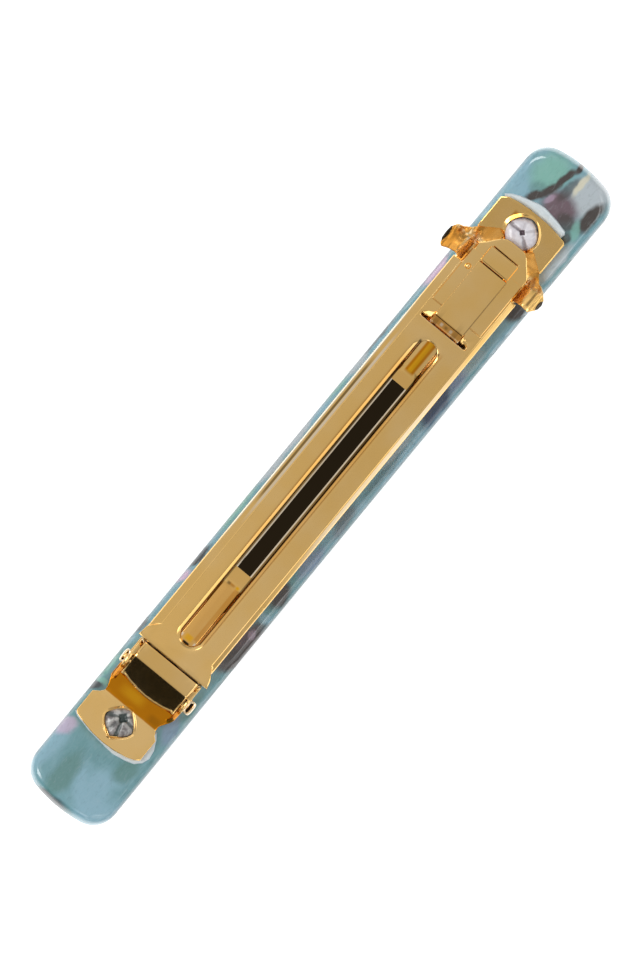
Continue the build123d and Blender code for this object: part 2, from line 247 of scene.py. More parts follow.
class BarretteMetal(bpy.types.PropertyGroup):
    gold: colour_choice("Gold", "The plating's own colour", (0.94, 0.585, 0.19))
    pale_gold: colour_choice("Pale gold", "Where the plating is thin", (0.95, 0.625, 0.25))
    # Amber is painted shade: the warm, darker tone of the shade and reflections in the hollows, not a
    # thicker plating.
    painted_amber_shade: colour_choice("Amber", "Thick plating in the hollows", (0.66, 0.24, 0.008))
    # Honey is a painted warm highlight: a lighter amber where light catches.
    painted_warm_highlight: colour_choice("Honey", "Lighter amber", (0.95, 0.48, 0.02))
    # Cream is a painted highlight on the metal: pale gold where light catches edges, bends and the bails,
    # not plating rubbed bright.
    cream_streaks_and_painted_highlights: colour_choice("Cream", "Where the plating has been rubbed bright", (1.0, 0.87, 0.68))
    # Raw steel is painted shade: dark lines of shade in gaps, slits and folds, the dark tips of the arms,
    # and the dark painted reflection on the tension bar's panel.
    painted_dark_shade: colour_choice("Raw steel", "Bare edges and dark reflections", (0.03, 0.02, 0.01))
    roughness: bpy.props.FloatProperty(
        name="Roughness", description="How dull the plating is", default=0.12, min=0.0, max=1.0,
    )
    sheet: bpy.props.FloatProperty(
        name="Sheet", description="Thickness of the clip's sheet", default=0.5 * MM, unit="LENGTH",
    )
    spring_sheet: bpy.props.FloatProperty(
        name="Spring sheet", description="Thickness of the tension bar", default=0.4 * MM, unit="LENGTH",
    )


class BarretteAcetate(bpy.types.PropertyGroup):
    teal: colour_choice("Teal", "The marbling's main colour", (0.12, 0.29, 0.31))
    mist: colour_choice("Mist", "Pale blue clouds", (0.24, 0.43, 0.52))
    sea: colour_choice("Sea", "Deep green clouds", (0.1, 0.235, 0.22))
    mint: colour_choice("Mint", "Pale green clouds", (0.2, 0.45, 0.37))
    pearl: colour_choice("Pearl", "Pink pearl clouds", (0.6, 0.44, 0.6))
    smoke: colour_choice("Smoke", "Grey and white clouds", (0.45, 0.5, 0.53))
    steel: colour_choice("Steel", "Grey and blue clouds", (0.2, 0.27, 0.4))
    navy: colour_choice("Navy", "Dark blue clouds", (0.045, 0.075, 0.14))
    plum: colour_choice("Plum", "Dusky mauve clouds", (0.14, 0.09, 0.11))
    umber: colour_choice("Umber", "Dark brown veins", (0.045, 0.035, 0.03))
    slate: colour_choice("Slate", "Dark grey veins", (0.045, 0.055, 0.06))
    cream_streaks_and_painted_highlights: colour_choice("Cream", "Warm white streaks", (0.66, 0.63, 0.48))


# Small sums that the forms share

def clamp(value, low=0.0, high=1.0):
    return min(max(value, low), high)


def ease(value, low, high):
    """0 below low, 1 above high, and a soft step between them."""
    share = clamp((value - low) / (high - low))
    return share * share * (3 - 2 * share)


def along(rows, place):
    """Reads a short table of (place, value) rows, with straight lines between them."""
    for (start, low), (end, high) in zip(rows, rows[1:]):
        if place <= end:
            return low + (high - low) * max((place - start) / (end - start), 0.0)
    return rows[-1][1]


def steps(low, high, gap):
    """Evenly spaced places from low to high."""
    count = max(round((high - low) / gap), 1)
    return [low + (high - low) * k / count for k in range(count + 1)]


def bent_down(past, slope, bend):
    """How far a sheet has gone down at a distance past a fold that is rounded within its bend."""
    return slope * past if past > bend else slope * max(past + bend, 0.0) ** 2 / (4 * bend)


def bar_back(x):
    """Height of the bar's back at x."""
    return BEND_CENTRE_Z - math.sqrt(BAR_BACK_RADIUS ** 2 - x * x)


def sheet_top(x):
    """Height of the base sheet's top face at x."""
    return BEND_CENTRE_Z - math.sqrt(SHEET_RADIUS ** 2 - x * x)


ARM_Z = sheet_top(ARM_FOOT_X)
HEEL_Z = HINGE_Z + HEEL_RISE
TOE_Z = sheet_top(TOE_X) + TOE_RISE
CHORD = math.hypot(TOE_X - HEEL_X, TOE_Z - HEEL_Z)
ARCH_RISE = math.sqrt(ARCH_RADIUS ** 2 - (CHORD / 2) ** 2)
ARCH_X = (HEEL_X + TOE_X) / 2 - ARCH_RISE * (TOE_Z - HEEL_Z) / CHORD
ARCH_Z = (HEEL_Z + TOE_Z) / 2 + ARCH_RISE * (TOE_X - HEEL_X) / CHORD


def lever_top(x):
    """Height of the lever's plate at x."""
    return ARCH_Z - math.sqrt(ARCH_RADIUS ** 2 - (x - ARCH_X) ** 2)


# Mesh helpers. Forms are worked in millimetres and made metres when they are finished.

def pinched(x, y, power):
    """Distance from the middle of a round: a circle at power 2, a diamond at power 1."""
    return (abs(x) ** power + abs(y) ** power) ** (1 / power)


def to_round(old, new, reach, height, power=2.0):
    """Moves a ring from a round about old to one of this reach about new, and up to its height there."""
    def move(place):
        offset = place.xy - old
        x, y = new + offset * (reach / pinched(*offset, power))
        return Vector((x, y, height(x, y)))

    return move


def shifted(start, *points):
    """Flat points whose places are given from a start."""
    return [(start + x, y) for x, y in points]


def on_side(points, side):
    """Flat points of the +Y side, or the same ones turned over to the -Y side."""
    return [(x, side * y) for x, y in points]


def round_loop(mesh, centre, reach, power=2.0, stretch=0.0, segments=32):
    """A closed loop: a circle pinched by its power, and pulled long by stretch."""
    made = bmesh.ops.create_circle(mesh, segments=segments, radius=1.0)["verts"]
    turn = Matrix.Rotation(math.pi / segments, 3, "Z")
    bmesh.ops.rotate(mesh, verts=made, cent=(0, 0, 0), matrix=turn)
    for vert in made:
        x, y, _ = vert.co
        size = reach / pinched(x, y, power)
        vert.co = (centre[0] + x * size + math.copysign(stretch, x), centre[1] + y * size, 0.0)
    return list(dict.fromkeys(edge for vert in made for edge in vert.link_edges))


def flat_sheet(*outlines, rounds=(), soft=()):
    """A flat sheet. The first outline is its edge, and the others and the rounds are holes. Narrow
    rings of faces, the widest first, keep its edges crisp."""
    mesh = bmesh.new()
    for outline in outlines:
        corners = [mesh.verts.new((x, y, 0.0)) for x, y in outline]
        for pair in zip(corners, corners[1:] + corners[:1]):
            mesh.edges.new(pair)
    for hole in rounds:
        round_loop(mesh, **hole)
    bmesh.ops.triangle_fill(mesh, edges=mesh.edges[:], use_beauty=True, normal=(0, 0, 1))
    for width in soft:
        bmesh.ops.inset_region(
            mesh, faces=mesh.faces[:], thickness=width, use_boundary=True, use_even_offset=True,
        )
    return mesh


def add_rings(mesh, loop, moves):
    """Adds rings of faces to a loop of edges. Each move gives a ring's points their place."""
    for move in moves:
        made = bmesh.ops.extrude_edge_only(mesh, edges=loop)["geom"]
        fresh = {item for item in made if isinstance(item, bmesh.types.BMVert)}
        loop = [
            item for item in made
            if isinstance(item, bmesh.types.BMEdge) and fresh.issuperset(item.verts)
        ]
        for vert in fresh:
            vert.co = move(vert.co)
    return loop


def cut(mesh, normal, places, start=0.0):
    """Divides a sheet along straight lines, at places from a start, so that it can bend there."""
    normal = Vector(normal).normalized()
    for place in places:
        bmesh.ops.bisect_plane(
            mesh, geom=mesh.verts[:] + mesh.edges[:] + mesh.faces[:], dist=0.001,
            plane_co=normal * (start + place), plane_no=normal,
        )


def press(mesh, height, turn=0.04, kept=None):
    """Raises each point of a flat sheet to its place's height and turns the edges down a little."""
    bmesh.ops.remove_doubles(mesh, verts=mesh.verts, dist=0.02)
    rim = {vert for vert in mesh.verts if vert.is_boundary and not (kept and kept(vert.co))}
    beside = {edge.other_vert(vert) for vert in rim for edge in vert.link_edges} - rim
    for vert in mesh.verts:
        vert.co.z = height(vert.co.x, vert.co.y)
        vert.co.z -= turn if vert in rim else turn * 0.25 if vert in beside else 0.0


def open_rim(mesh, near):
    """The open edges of a sheet whose ends are all near a place."""
    return [edge for edge in mesh.edges if edge.is_boundary and all(near(vert.co) for vert in edge.verts)]


def face_towards(mesh, way=(0, 0, 1)):
    """Makes a sheet's faces point one way on the whole."""
    bmesh.ops.recalc_face_normals(mesh, faces=mesh.faces)
    if sum(face.normal.dot(way) * face.calc_area() for face in mesh.faces) < 0:
        bmesh.ops.reverse_faces(mesh, faces=mesh.faces)


def settle(mesh, verts, factor, rounds=1):
    """Evens out the heights of these points."""
    for _ in range(rounds):
        bmesh.ops.smooth_vert(
            mesh, verts=verts, factor=factor, use_axis_x=False, use_axis_y=False, use_axis_z=True,
        )


def pull_up(mesh, depth):
    """Makes a flat form a block."""
    made = bmesh.ops.extrude_face_region(mesh, geom=mesh.faces[:])["geom"]
    high = [item for item in made if isinstance(item, bmesh.types.BMVert)]
    bmesh.ops.translate(mesh, verts=high, vec=(0, 0, depth))


def stand_up(mesh, y=0.0, side=1):
    """Turns a form up on its edge, at a distance from the middle line."""
    turn = Matrix.Translation((0, y, 0)) @ Matrix.Rotation(side * math.pi / 2, 4, "X")
    bmesh.ops.transform(mesh, matrix=turn, verts=mesh.verts)


def move_to_hinge(mesh, y=0.0, z=0.0):
    """Moves a form that was made about the hinge's axis to its place."""
    bmesh.ops.translate(mesh, verts=mesh.verts, vec=(HINGE_X, y, HINGE_Z + z))


def joined(*parts):
    """One mesh of several."""
    whole = bmesh.new()
    for part in parts:
        data = bpy.data.meshes.new("part")
        part.to_mesh(data)
        part.free()
        whole.from_mesh(data)
        bpy.data.meshes.remove(data)
    return whole


def merged_copy(node):
    """A bmesh of a CAD node, in millimetres, with its loose triangles joined."""
    mesh = bmesh.new()
    mesh.from_mesh(frame["nodes"][node].data)
    bmesh.ops.scale(mesh, verts=mesh.verts, vec=(1 / MM, 1 / MM, 1 / MM))
    bmesh.ops.remove_doubles(mesh, verts=mesh.verts, dist=0.001)
    return mesh


def finish_piece(mesh, name, body, slot, material, *nodes, crease=35):
    """Makes a bmesh an object that rides on a body, in place of these CAD nodes. Its slot is not used."""
    bmesh.ops.scale(mesh, verts=mesh.verts, vec=(MM, MM, MM))
    data = bpy.data.meshes.new(name)
    mesh.to_mesh(data)
    mesh.free()
    data.shade_smooth()
    data.set_sharp_from_angle(angle=math.radians(crease))
    data.materials.append(material)
    piece = bpy.data.objects.new(name, data)
    bpy.context.scene.collection.objects.link(piece)
    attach(piece, body)
    if nodes:
        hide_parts(*nodes)
    return piece


def smooth_flow(piece):
    """Rounds a piece off."""
    flow = piece.modifiers.new("smooth flow", "SUBSURF")
    flow.levels = flow.render_levels = 2


def thicken(piece, thickness, flows=False):
    """Gives a sheet its thickness, away from its faces. It flows, or its broad faces lead the shading."""
    wall = piece.modifiers.new("sheet thickness", "SOLIDIFY")
    wall.thickness = thickness
    wall.offset = -1.0
    wall.use_even_offset = False
    if flows:
        smooth_flow(piece)
    else:
        piece.modifiers.new("even shading", "WEIGHTED_NORMAL").keep_sharp = True


# Materials

def plated_gold(name, metal, roughness, painted_shading, painted_dark_tips=()):
    """Bright plating: uneven in tone and finely scratched, with painted light and shade. Each painted mark
    of light and shade is a part in another tone, given by its low and high corner, how softly it ends, its
    tone and its strength, in millimetres. A dark tip is an oval of painted shade, given by its middle and
    reach."""
    material, paint = new_material(name)
    x, y, _ = paint.axes(paint.place(scale=(MM, MM, MM)))
    cloud = paint.noise(paint.place(), 160.0, 3.0)
    speck = paint.noise(paint.place(), 1400.0, 2.0)
    colour = paint.mix(cloud.between(0.35, 0.7), metal.gold, metal.pale_gold)
    banding = paint.noise(paint.place(scale=(6.0, 1.0, 1.0)), 900.0, 2.0).between(0.2, 0.6) * 0.25 + 0.75
    # Painted light and shade: each mark mixes its tone into the plating.
    for low, high, soft, tone, strength in painted_shading:
        mask = x.inside(low[0], high[0], soft[0]) * y.inside(low[1], high[1], soft[1]) * strength
        colour = paint.mix(mask * banding, colour, getattr(metal, tone))
    # Painted shade: each dark tip darkens an oval almost to black.
    for centre, reach in painted_dark_tips:
        away = ((x - centre[0]) / reach[0]) ** 2.0 + ((y - centre[1]) / reach[1]) ** 2.0
        colour = paint.mix(1 - away.between(0.75, 1.0), colour, metal.painted_dark_shade)
    scratch = paint.noise(paint.place(scale=(12.0, 0.4, 0.4)), 5000.0, 3.0)
    paint.surface({
        "Base Color": colour,
        "Metallic": 1.0,
        "Roughness": roughness + (speck - 0.5) * 0.06,
        "Normal": paint.bump(scratch, 0.04, 0.02 * MM),
    })
    return material


# The marbling's clouds, from the hinge end to the catch end. Each is an oval with a wavering edge: its
# tone, its middle and reach in millimetres, its turn in degrees and its strength.
MARBLING = (
    ("sea", (-45.0, 1.2), (3.8, 1.5), 0, 0.8),
    ("mist", (-43.6, 4.6), (3.8, 1.5), -6, 0.9),
    ("pearl", (-40.6, 4.6), (1.6, 1.1), -35, 0.7),
    ("mist", (-45.0, -3.2), (4.6, 1.8), 12, 0.9),
    ("sea", (-40.3, -4.3), (2.2, 1.3), -20, 0.8),
    # The slate oval across the hinge end's tip is a painted dark reflection on the rounded end, not a vein.
    ("slate", (-48.7, 1.4), (1.0, 3.8), 8, 1.0),
    ("slate", (-35.0, 5.3), (0.7, 1.4), 35, 1.0),
    ("mint", (-34.0, 4.7), (0.4, 1.0), 5, 0.8),
    ("mint", (-31.8, 5.2), (2.0, 0.8), 0, 0.8),
    ("steel", (-33.5, -5.3), (2.3, 0.9), 8, 0.7),
    ("sea", (-30.0, -5.6), (2.4, 0.9), 0, 0.7),
    ("slate", (-26.0, 5.5), (1.3, 0.9), -15, 1.0),
    ("umber", (-22.8, -5.3), (2.2, 1.6), -25, 1.0),
    ("umber", (-19.6, -5.6), (3.6, 1.7), -8, 1.0),
    ("plum", (-19.4, -5.2), (2.0, 0.9), -8, 0.5),
    ("pearl", (-18.6, -5.6), (0.8, 0.6), 20, 0.35),
    ("pearl", (-18.6, 5.2), (1.4, 0.6), -20, 1.0),
    ("slate", (-15.4, 5.0), (2.1, 0.45), -5, 1.0),
    ("mist", (-16.2, -5.5), (0.8, 0.9), 0, 0.8),
    ("umber", (-13.0, -5.2), (2.0, 1.3), 12, 1.0),
    ("steel", (-7.6, -5.5), (2.8, 0.9), 0, 0.8),
    ("mint", (-8.2, 5.3), (3.8, 0.8), 0, 0.9),
    ("smoke", (-2.0, 5.3), (2.6, 0.7), 0, 0.85),
    ("plum", (-1.5, -5.6), (2.8, 0.8), 5, 0.5),
    ("smoke", (2.8, 5.2), (3.2, 0.7), 0, 0.9),
    ("slate", (6.2, 5.75), (7.0, 0.3), 0, 0.95),
    ("slate", (6.0, -5.6), (4.5, 0.5), 0, 0.35),
    ("smoke", (9.0, -5.1), (3.0, 0.5), 0, 0.5),
    ("mint", (10.2, 5.2), (2.2, 0.5), 0, 0.7),
    ("smoke", (14.0, 5.1), (2.2, 0.5), 0, 0.8),
    ("slate", (18.0, 5.3), (3.2, 0.35), 0, 0.8),
    ("navy", (16.0, -5.2), (3.6, 1.2), 8, 1.0),
    ("steel", (19.9, -5.3), (1.7, 0.9), 0, 0.9),
    ("smoke", (22.6, -5.3), (2.4, 0.8), 0, 0.4),
    ("pearl", (28.4, 5.2), (2.7, 0.8), 0, 1.0),
    ("umber", (30.4, -5.2), (1.6, 1.3), -15, 1.0),
    ("smoke", (37.5, -5.2), (3.6, 0.9), 0, 0.85),
    ("mist", (43.0, 5.2), (3.2, 1.2), 0, 0.9),
    ("mint", (45.4, 1.9), (3.0, 2.4), -25, 0.85),
    ("sea", (43.0, 1.9), (1.2, 1.0), -30, 0.6),
    ("smoke", (46.2, -3.3), (3.6, 2.6), 0, 0.95),
    ("plum", (42.9, -1.4), (2.2, 2.8), 0, 1.0),
    ("pearl", (43.0, 0.2), (0.9, 0.4), -35, 0.4),
    ("umber", (42.0, -3.0), (1.3, 1.5), 0, 0.8),
    ("umber", (45.2, -1.0), (2.1, 0.7), -6, 0.65),
    ("cream_streaks_and_painted_highlights", (46.6, -1.7), (2.0, 0.5), 6, 0.9),
    ("umber", (42.2, 1.75), (1.4, 0.6), -32, 1.0),
    ("umber", (43.9, 0.75), (1.7, 0.62), -28, 1.0),
    ("umber", (46.0, 0.2), (2.0, 0.5), -12, 1.0),
    ("umber", (47.9, -0.25), (1.0, 0.4), 8, 1.0),
    ("umber", (44.3, -5.0), (2.6, 0.9), -3, 1.0),
    ("mint", (42.0, -4.5), (1.4, 0.6), 20, 0.6),
    ("umber", (40.6, -4.2), (0.9, 0.6), 0, 0.8),
)


def marbled_acetate(acetate):
    """Pearly marbled acetate under a polished surface."""
    material, paint = new_material("marbled acetate")
    wave = paint.node("ShaderNodeTexNoise", None, {
        "Vector": paint.place(), "Scale": 420.0, "Detail": 3.0, "Roughness": 0.55,
    }).outputs["Color"]
    waver = 1.1 * MM
    middled = paint.place(centre=(waver / 2,) * 3)
    wavering = paint.vector("MULTIPLY_ADD", wave, (waver,) * 3, middled).outputs[0]
    flat = paint.vector("MULTIPLY", wavering, (1.0, 1.0, 0.0)).outputs[0]
    cloud = paint.noise(paint.place(scale=(1.6, 1.0, 1.0)), 150.0, 4.0, distortion=0.8)
    colour = paint.mix(cloud.between(0.3, 0.7), acetate.teal, acetate.mist)
    for tone, centre, reach, turn, strength in MARBLING:
        where = paint.place(
            (centre[0] * MM, centre[1] * MM, 0), (0, 0, math.radians(turn)),
            (reach[0] * MM, reach[1] * MM, 1.0), flat,
        )
        away = Signal(paint, paint.vector("LENGTH", where).outputs["Value"])
        colour = paint.mix((1 - away.between(0.5, 1.15)) * strength, colour, getattr(acetate, tone))
    # Both long edges are darkened towards slate: a painted dark reflection along the rounded rims.
    _, y, _ = paint.axes(paint.place((0, BAR_MIDDLE_Y * MM, 0), scale=(MM, MM, MM)))
    colour = paint.mix(abs(y).between(BAR_HALF - 0.4, BAR_HALF) * 0.6, colour, acetate.slate)
    pearl = paint.noise(paint.place(scale=(1.0, 0.35, 1.0)), 900.0, 4.0, 0.65, 1.2)
    colour = paint.mix(pearl.between(0.5, 0.8) * 0.16, colour, acetate.smoke)
    colour = paint.mix((1 - pearl.between(0.25, 0.5)) * 0.2, colour, acetate.slate)
    paint.surface({
        "Base Color": colour,
        "Roughness": 0.22,
        "Coat Weight": 1.0,
        "Coat Roughness": 0.03,
    })
    return material


def clouded_cement():
    """Clear cement set white, whose tone drifts a little."""
    material, paint = new_material("cloudy cement")
    cloud = paint.noise(paint.place(), 700.0, 3.0)
    clear, white = (0.544, 0.6, 0.624), (0.68, 0.75, 0.78)
    paint.surface({"Base Color": paint.mix(cloud, clear, white), "Roughness": 0.4})
    return material


# Operators

class BARRETTE_OT_stage(bpy.types.Operator):
    """Camera, pale floor and soft light"""
    bl_idname = "barrette.stage"
    bl_label = "Stage"

    def execute(self, context):
        self.make_camera(context.scene, context.scene.barrette_camera)
        self.make_floor(context.scene)
        self.make_world(context.scene)
        self.make_lights(context.scene)
        context.scene.view_settings.view_transform = "Standard"
        return {"FINISHED"}

    def make_camera(self, scene, view):
        data = bpy.data.cameras.new("camera")
        data.sensor_width = 36.0
        data.lens = data.sensor_width * view.distance / view.height
        data.clip_start, data.clip_end = 0.01, 10.0
        camera = bpy.data.objects.new("camera", data)
        scene.collection.objects.link(camera)
        back = Vector((0, math.sin(view.tilt), math.cos(view.tilt)))
        across = Vector((1, 0, 0))
        upright = back.cross(across)
        turned = Matrix.Rotation(-view.roll, 4, back)
        columns = (turned @ across, turned @ upright, back)
        camera.matrix_world = Matrix.Translation(Vector(view.target) + back * view.distance) @ (
            Matrix(columns).transposed().to_4x4()
        )
        scene.camera = camera

    def make_floor(self, scene):
        mesh = bmesh.new()
        bmesh.ops.create_grid(mesh, x_segments=1, y_segments=1, size=1.5)
        bmesh.ops.translate(mesh, verts=mesh.verts, vec=(0, 0, -0.02 * MM))
        data = bpy.data.meshes.new("floor")
        mesh.to_mesh(data)
        mesh.free()
        material, paint = new_material("pale floor")
        paint.surface({
            "Base Color": (0.9, 0.9, 0.9, 1.0),
            "Roughness": 0.8,
            "Emission Color": (1.0, 1.0, 1.0, 1.0),
            "Emission Strength": 0.6,
        })
        data.materials.append(material)
        floor = bpy.data.objects.new("floor", data)
        scene.collection.objects.link(floor)

    # Small lamps in the tent, by the direction that they are seen in, their reach and their brightness
    patches = (
        (-0.56, -0.29, 0.15, 2.4), (0.24, -0.41, 0.13, 2.4), (0.3, 0.36, 0.13, 2.4),
        (0.82, -0.37, 0.14, 1.8), (-0.83, -0.38, 0.13, 1.8),
    )

    def make_world(self, scene):
        """A white tent: dimmer overhead, brighter on the -Y side, black beyond the hinge."""
        world = bpy.data.worlds.new("studio")
        scene.world = world
        paint = Paint(world)
        x, y, z = paint.axes(paint.node("ShaderNodeTexCoord").outputs["Generated"])
        # The cloth overhead, in steps that grow brighter towards the catch and the +Y side
        level = 0.545 + x.between(-0.5, -0.15) * 0.1 + x.between(0.0, 0.2) * 0.12
        level = level + y.between(-0.1, 0.1) * 0.08
        above = z.between(0.1, 0.35)
        # A panel of light along each side
        side = y.inside(0.6, 0.85, 0.08) * 0.15 + (-y).inside(0.45, 0.8, 0.12) * 0.9
        level = level + side * (1 - abs(x).between(0.3, 0.45)) * above
        # Low on the -Y side: dimmer, with one bright strip for the flange
        level = level * (1 - (-y).between(0.87, 0.92) * 0.25)
        level = level + (-y).between(0.9, 0.96) * x.inside(-0.055, 0.02, 0.03) * 0.9
        # Dark seams beside the middle, which draw the slot's lip, and a dimmer end beyond the catch
        level = level * (1 - abs(y).inside(0.3, 0.4, 0.03) * (1 - abs(x).between(0.15, 0.3)) * 0.55)
        level = level * (1 - x.between(0.66, 0.76) * 0.4)
        for patch_x, patch_y, reach, bright in self.patches:
            away = ((x - patch_x) ** 2.0 + (y - patch_y) ** 2.0) ** 0.5
            level = level + (1 - away.between(reach * 0.5, reach)) * above * bright
        hinge_shade = (-x).inside(0.77, 0.93, 0.03) * (1 - abs(y).between(0.25, 0.4)) * z.between(0.1, 0.25)
        level = level * (1 - hinge_shade * 0.97)
        background = paint.node("ShaderNodeBackground", None, {"Strength": level})
        paint.node("ShaderNodeOutputWorld", None, {"Surface": background.outputs[0]})

    def make_lights(self, scene):
        sun = bpy.data.lights.new("key light", "SUN")
        sun.energy = 1.2
        sun.angle = math.radians(30)
        key = bpy.data.objects.new("key light", sun)
        key.rotation_euler = (math.radians(-32), math.radians(-25), 0)
        scene.collection.objects.link(key)


class BARRETTE_OT_bar(bpy.types.Operator):
    """The curved acetate bar"""
    bl_idname = "barrette.bar"
    bl_label = "Acetate bar"

    def execute(self, context):
        material = marbled_acetate(context.scene.barrette_acetate)
        mesh = merged_copy("acetate_bar")
        finish_piece(mesh, "marbled_bar", "base", "acetate", material, "acetate_bar")
        return {"FINISHED"}


class BARRETTE_OT_clip_base(bpy.types.Operator):
    """The stamped base with its end plates, hinge cheeks and catch arms"""
    bl_idname = "barrette.clip_base"
    bl_label = "Clip base"

    # Each fixing hole: its centre and reach, the centre and reach of its collar's foot, and its pinch
    holes = (
        ((-36.53, -0.08), 1.97, (-36.36, -0.08), 2.32, 1.4),
        ((37.82, 0.0), 2.03, (37.86, 0.14), 2.44, 1.75),
    )
    # The collar's share of the way from hole to foot, and its height above the plate, from the foot inwards
    collar = ((1.0, 0.0), (0.85, 0.01), (0.6, 0.06), (0.3, 0.12), (0.1, 0.14), (0.0, 0.04), (-0.04, -0.3))
    # Where the strip rises above its curve, between the hinge plate and the hinge: place and rise
    step = ((-34.5, 0.0), (-31.7, 0.7), (-30.8, 0.0))
    # Plan of each arm, from the wall's foot round the tongue to the plate's fold
    arm_plans = {
        1: (
            (30.95, 3.6), (31.1, 4.7), (30.9, 5.65), (30.55, 6.4), (30.8, 6.8), (31.45, 7.05),
            (32.4, 7.17), (33.2, 7.05), (33.85, 6.6), (34.15, 5.9), (34.75, 5.1), (35.3, 4.61),
            (36.85, 2.38), (36.4, 1.5), (35.2, 1.4), (34.2, 2.3), (33.4, 3.6),
        ),
        -1: (
            (31.1, 4.1), (31.1, 5.15), (31.0, 6.25), (31.5, 6.7), (31.95, 7.03), (32.7, 7.17), (33.3, 6.98),
            (33.9, 6.4), (34.3, 5.8), (34.75, 5.15), (35.6, 4.55), (37.1, 2.55), (36.4, 1.7),
            (35.2, 1.9), (34.2, 2.8), (33.4, 4.1),
        ),
    }
    # Height of each arm above the end plate, by distance from the clip's middle line
    arm_rises = {
        1: ((4.4, 2.9), (4.9, 3.15), (5.6, 3.3), (6.3, 3.75), (6.7, 3.85), (6.95, 3.6), (7.16, 3.1)),
        -1: ((4.8, 2.9), (5.3, 3.2), (5.6, 3.15), (5.75, 3.45), (6.2, 3.7), (6.7, 3.5), (7.16, 2.6)),
    }
    # The fold at an arm's foot: the point of the plan where it starts, its way, and the slope above it
    fold_starts = {1: 11, -1: 10}
    fold_way = (0.822, 0.569)
    fold_slope = 0.72
    # Outline of a cheek about the pin's axis, and each cheek's outer face from the middle line
    cheek = (
        (-5.2, -3.4), (-4.6, -3.1), (-3.9, -2.5), (-3.0, -1.7), (-2.2, -0.7), (-1.4, 0.4), (-0.6, 1.0),
        (0.6, 1.05), (1.3, 0.75), (2.0, 0.5), (2.6, 0.35), (2.8, -0.4), (2.9, -3.3),
    )
    cheek_walls = {1: 4.18, -1: 4.86}
    pin_hole = 0.6
    # Each bail's inner and outer edge and its slit, from the middle line, and its height
    bails = {1: (4.0, 4.88, 4.35, 4.55), -1: (4.5, 5.8, 5.1, 5.38)}
    bail_height = 1.5
    arm_roughness = 0.27
    bail_roughness = 0.16
    # Painted light and shade on the base: amber shade, a lighter warm patch and a darker corner on the
    # floor between the cheeks, amber that dulls the light on the catch collar's upper side, and dark shade
    # under the corners of the lever's window.
    base_painted_shading = (
        ((-34.3, -4.9), (-31.0, 4.6), (0.25, 0.3), "painted_amber_shade", 1.4),
        ((-33.1, 0.1), (-32.8, 1.4), (0.9, 1.6), "painted_warm_highlight", 0.55),
        ((-34.0, -3.4), (-33.6, -2.8), (0.7, 1.0), "painted_dark_shade", 0.22),
        ((38.3, 1.4), (39.2, 2.2), (0.5, 0.35), "painted_amber_shade", 0.8),
        ((22.4, 2.4), (23.8, 3.4), (0.3, 0.3), "painted_dark_shade", 0.9),
        ((22.4, -3.6), (23.8, -2.4), (0.3, 0.3), "painted_dark_shade", 0.9),
    )
    # Painted light and shade on the arms: cream highlights on the bends and walls, amber shade in the
    # hollows and on the ramps down to the plate, and a dark line of shade on the lower arm.
    arm_painted_shading = (
        ((33.6, 3.4), (34.4, 6.4), (0.5, 0.5), "cream_streaks_and_painted_highlights", 0.25),
        ((33.8, -6.2), (34.4, -4.2), (0.5, 0.5), "cream_streaks_and_painted_highlights", 0.25),
        ((34.6, 1.2), (37.2, 4.6), (0.5, 0.5), "painted_amber_shade", 0.75),
        ((30.4, 4.9), (33.4, 6.7), (0.4, 0.3), "painted_amber_shade", 0.8),
        ((30.4, 3.6), (34.0, 4.5), (0.3, 0.2), "cream_streaks_and_painted_highlights", 0.8),
        ((34.8, -4.5), (37.2, -1.4), (0.5, 0.3), "painted_amber_shade", 0.7),
        ((30.8, -4.9), (34.0, -4.1), (0.3, 0.2), "cream_streaks_and_painted_highlights", 0.6),
        ((31.7, -5.8), (33.4, -5.62), (0.3, 0.1), "painted_dark_shade", 0.6),
    )
    # Painted shade: a dark oval at each arm's curled tip.
    arm_painted_dark_tips = (((32.15, 7.36), (1.6, 0.8)), ((32.45, -7.0), (0.85, 0.4)))
    # Painted light and shade on the bails: a cream highlight over them and dark shade in their slits.
    bail_painted_shading = (
        ((-31.0, -6.0), (-28.6, 5.0), (0.1, 0.1), "cream_streaks_and_painted_highlights", 0.75),
        ((-30.35, 4.37), (-29.25, 4.53), (0.05, 0.05), "painted_dark_shade", 1.1),
        ((-30.35, -5.36), (-29.25, -5.12), (0.05, 0.05), "painted_dark_shade", 1.3),
    )

    def execute(self, context):
        metal = context.scene.barrette_metal
        plating = plated_gold("gold plating on the base", metal, metal.roughness, self.base_painted_shading)
        mesh = joined(self.make_strip(), self.make_cheek(1), self.make_cheek(-1))
        piece = finish_piece(mesh, "stamped_base", "base", "gold_plate", plating, "clip_base")
        thicken(piece, metal.sheet)
        arms = joined(self.make_arm(1), self.make_arm(-1))
        plating = plated_gold(
            "gold plating on the arms", metal, self.arm_roughness, self.arm_painted_shading, self.arm_painted_dark_tips,
        )
        piece = finish_piece(arms, "catch_arms", "base", "gold_plate", plating)
        thicken(piece, metal.sheet, flows=True)
        bails = joined(self.make_bail(1), self.make_bail(-1))
        # The bails' plating carries a painted highlight and painted shade in the slits.
        painted = plated_gold("rubbed gold plating", metal, self.bail_roughness, self.bail_painted_shading)
        smooth_flow(finish_piece(bails, "pin_bails", "base", "gold_plate", painted))
        return {"FINISHED"}

